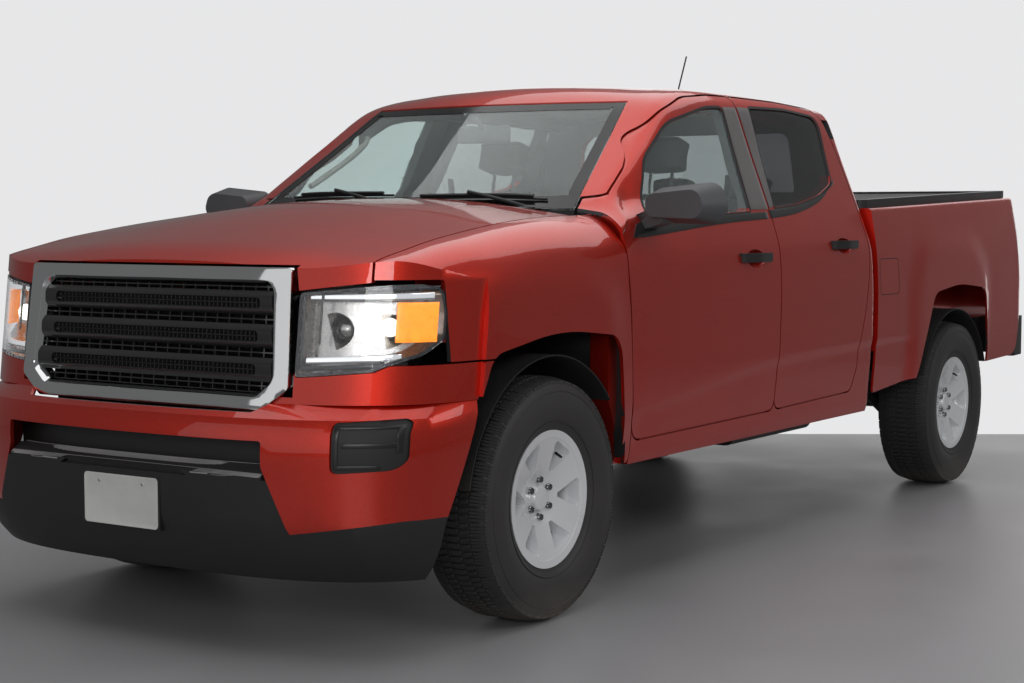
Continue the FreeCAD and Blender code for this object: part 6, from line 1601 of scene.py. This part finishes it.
class TRUCK_OT_seats(bpy.types.Operator):
    """Stuffs and sews the front seats and the rear bench"""
    bl_idname = "truck.seats"
    bl_label = "Seats"

    def execute(self, context):
        upright = Matrix.Rotation(math.radians(90.0), 4, "X")
        lean = Matrix.Rotation(math.radians(-14.5), 4, "X")

        def spot(x, station, z, turn=None):
            return Matrix.Translation(at(x, station, z)) @ (turn or Matrix.Identity(4))

        back = lean @ upright
        cushion("front_cushion", 0.248, 0.50, 0.145, 0.022, 0.012, spot(380, 1260, 786), seat_lines,
                [("_right", spot(-380, 1260, 786))])
        cushion("front_back", 0.235, 0.63, 0.135, 0.024, 0.010, spot(380, 1570, 1090, back), seat_lines,
                [("_right", spot(-380, 1570, 1090, back))])
        cushion("front_rest", 0.122, 0.155, 0.105, 0.0, 0.012, spot(380, 1628, 1522, back), rest_lines,
                [("_right", spot(-380, 1628, 1522, back))])
        rear = Matrix.Rotation(math.radians(-8.5), 4, "X") @ upright
        cushion("rear_cushion", 0.318, 0.44, 0.15, 0.006, 0.014, spot(320, 2090, 790), bench_lines,
                [("_right", spot(-320, 2090, 790))], node="rear_seat")
        cushion("rear_back", 0.318, 0.53, 0.11, 0.006, 0.010, spot(320, 2378, 1060, rear), bench_lines,
                [("_right", spot(-320, 2378, 1060, rear))], node="rear_seat")
        others = [("_middle", spot(0, 2424, 1396, rear)), ("_right", spot(-380, 2424, 1396, rear))]
        cushion("rear_rest", 0.110, 0.12, 0.085, 0.0, 0.010, spot(380, 2424, 1396, rear), rest_lines,
                others, node="rear_seat")
        for side, sign in SIDES:
            x = 380.0 * sign
            pieces = [block(at(x - 205, 1060, 600), at(x + 205, 1470, 716), 0.02, 3)]
            side_x = x + 232 * sign
            pieces.append(block(at(side_x - 12, 1080, 640), at(side_x + 12, 1560, 760), 0.01, 3))
            for d in (-50, 50):
                pieces.append(rod(at(x + d, 1608, 1370), at(x + d, 1626, 1470), 0.007, 16))
            settle(joined(pieces), "seat_base_" + side, "chassis", "cabin_trim", 40.0,
                   replaces=("front_seats",))
        return {"FINISHED"}


# Studio

class TRUCK_OT_studio(bpy.types.Operator):
    """Sets up the pale floor, the soft lamps, the room light and the camera"""
    bl_idname = "truck.studio"
    bl_label = "Studio"

    def execute(self, context):
        studio = context.scene.truck_studio
        colours = context.scene.truck_colours
        scene = context.scene
        yaw = math.radians(32.85)
        eye = Vector((3.958, -6.633, studio.camera_height))
        camera_data = bpy.data.cameras.new("camera")
        camera = bpy.data.objects.new("camera", camera_data)
        scene.collection.objects.link(camera)
        camera.location = eye
        camera.rotation_euler = (math.radians(90.0 - 4.365), math.radians(-0.05), yaw)
        camera_data.sensor_width = 36.0
        camera_data.lens = studio.lens
        camera_data.shift_x = -0.0358
        camera_data.shift_y = 0.0132
        camera_data.clip_end = 200.0
        scene.camera = camera
        ahead = Vector((-math.sin(yaw), math.cos(yaw), 0))
        across = Vector((math.cos(yaw), math.sin(yaw), 0))
        ground = Vector((eye.x, eye.y, 0))
        corners = [ground + ahead * a + across * b for a, b in ((-6, -13), (-6, 13), (10.6, 13), (10.6, -13))]
        bpy.ops.mesh.primitive_plane_add(size=2.0)
        floor = context.active_object
        place_points(floor, [corners[0], corners[1], corners[3], corners[2]])
        floor.name = "studio_floor"
        finish = surface("studio_floor", tuple(colours.floor), 0.42, uneven=0.04, scale=1.2)
        floor.data.materials.append(finish)
        self.lamp("overhead_lamp", (0.0, 0.5, 5.2), (0, 0, 0), (6.0, 11.0), studio.overhead)
        self.lamp("front_lamp", (5.5, -9.0, 2.8), (74, 0, 34), (3.0, 1.8), studio.side * 0.9)
        self.lamp("front_wall", (0.0, -13.0, 3.0), (90, 0, 0), (16.0, 5.0), studio.back)
        self.lamp("back_lamp", (-3.0, 9.5, 2.6), (-90, 0, 0), (10.0, 5.0), studio.back)
        self.lamp("left_lamp", (7.0, -1.0, 4.8), (58, 0, 88), (9.0, 2.0), studio.side)
        self.room(scene, colours, studio)
        scene.view_settings.view_transform = "Standard"
        return {"FINISHED"}

    def lamp(self, name, place, turn, size, power):
        """A soft rectangular lamp at a place, turned by degrees."""
        data = bpy.data.lights.new(name, "AREA")
        data.shape = "RECTANGLE"
        data.size, data.size_y = size
        data.energy = power
        obj = bpy.data.objects.new(name, data)
        obj.location = place
        obj.rotation_euler = [math.radians(angle) for angle in turn]
        bpy.context.scene.collection.objects.link(obj)

    def room(self, scene, colours, studio):
        """Even dim light from all round; the camera, also through glass, sees the pale wall."""
        world = bpy.data.worlds.new("studio_room")
        scene.world = world
        world.use_nodes = True
        tree = world.node_tree
        tree.nodes.clear()
        path = add(tree, "ShaderNodeLightPath")
        seen = add(tree, "ShaderNodeMath", operation="MAXIMUM")
        link(tree, path, "Is Camera Ray", seen, 0)
        link(tree, path, "Is Transmission Ray", seen, 1)
        wall = add(tree, "ShaderNodeBackground", {"Color": (*colours.wall, 1.0), "Strength": 1.0})
        fill = add(tree, "ShaderNodeBackground", {"Color": (1, 1, 1, 1), "Strength": studio.ambient})
        dim = add(tree, "ShaderNodeBackground", {"Color": (1, 1, 1, 1), "Strength": studio.mirrored})
        lit = add(tree, "ShaderNodeMixShader")
        mix = add(tree, "ShaderNodeMixShader")
        out = add(tree, "ShaderNodeOutputWorld")
        link(tree, path, "Is Glossy Ray", lit, 0)
        link(tree, fill, "Background", lit, 1)
        link(tree, dim, "Background", lit, 2)
        link(tree, seen, 0, mix, 0)
        link(tree, lit, "Shader", mix, 1)
        link(tree, wall, "Background", mix, 2)
        link(tree, mix, "Shader", out, "Surface")


# Add-on registration

PIECES = (
    TRUCK_OT_studio, TRUCK_OT_bodywork, TRUCK_OT_glazing, TRUCK_OT_trim, TRUCK_OT_front, TRUCK_OT_headlamps,
    TRUCK_OT_wheels, TRUCK_OT_tyres, TRUCK_OT_bed, TRUCK_OT_plates, TRUCK_OT_underbody, TRUCK_OT_cabin,
    TRUCK_OT_seats,
)
SETTINGS = (("truck_colours", TruckColours), ("truck_sizes", TruckSizes), ("truck_studio", TruckStudio))


class TRUCK_PT_panel(bpy.types.Panel):
    """The truck's settings and the steps that dress it"""
    bl_idname = "TRUCK_PT_panel"
    bl_label = "Pickup truck"
    bl_space_type = "VIEW_3D"
    bl_region_type = "UI"
    bl_category = "Pickup"

    def draw(self, context):
        for name, group in SETTINGS:
            values = getattr(context.scene, name)
            for key in group.__annotations__:
                self.layout.prop(values, key)
        for piece in PIECES:
            self.layout.operator(piece.bl_idname)


def register():
    for _, group in SETTINGS:
        bpy.utils.register_class(group)
    for name, group in SETTINGS:
        setattr(bpy.types.Scene, name, bpy.props.PointerProperty(type=group))
    for piece in PIECES:
        bpy.utils.register_class(piece)
    bpy.utils.register_class(TRUCK_PT_panel)


def unregister():
    bpy.utils.unregister_class(TRUCK_PT_panel)
    for piece in reversed(PIECES):
        bpy.utils.unregister_class(piece)
    for name, group in reversed(SETTINGS):
        delattr(bpy.types.Scene, name)
        bpy.utils.unregister_class(group)


def main():
    register()
    bpy.ops.object.select_all(action="DESELECT")
    for piece in PIECES:
        group, name = piece.bl_idname.split(".")
        getattr(getattr(bpy.ops, group), name)()


if __name__ == "__main__":
    main()
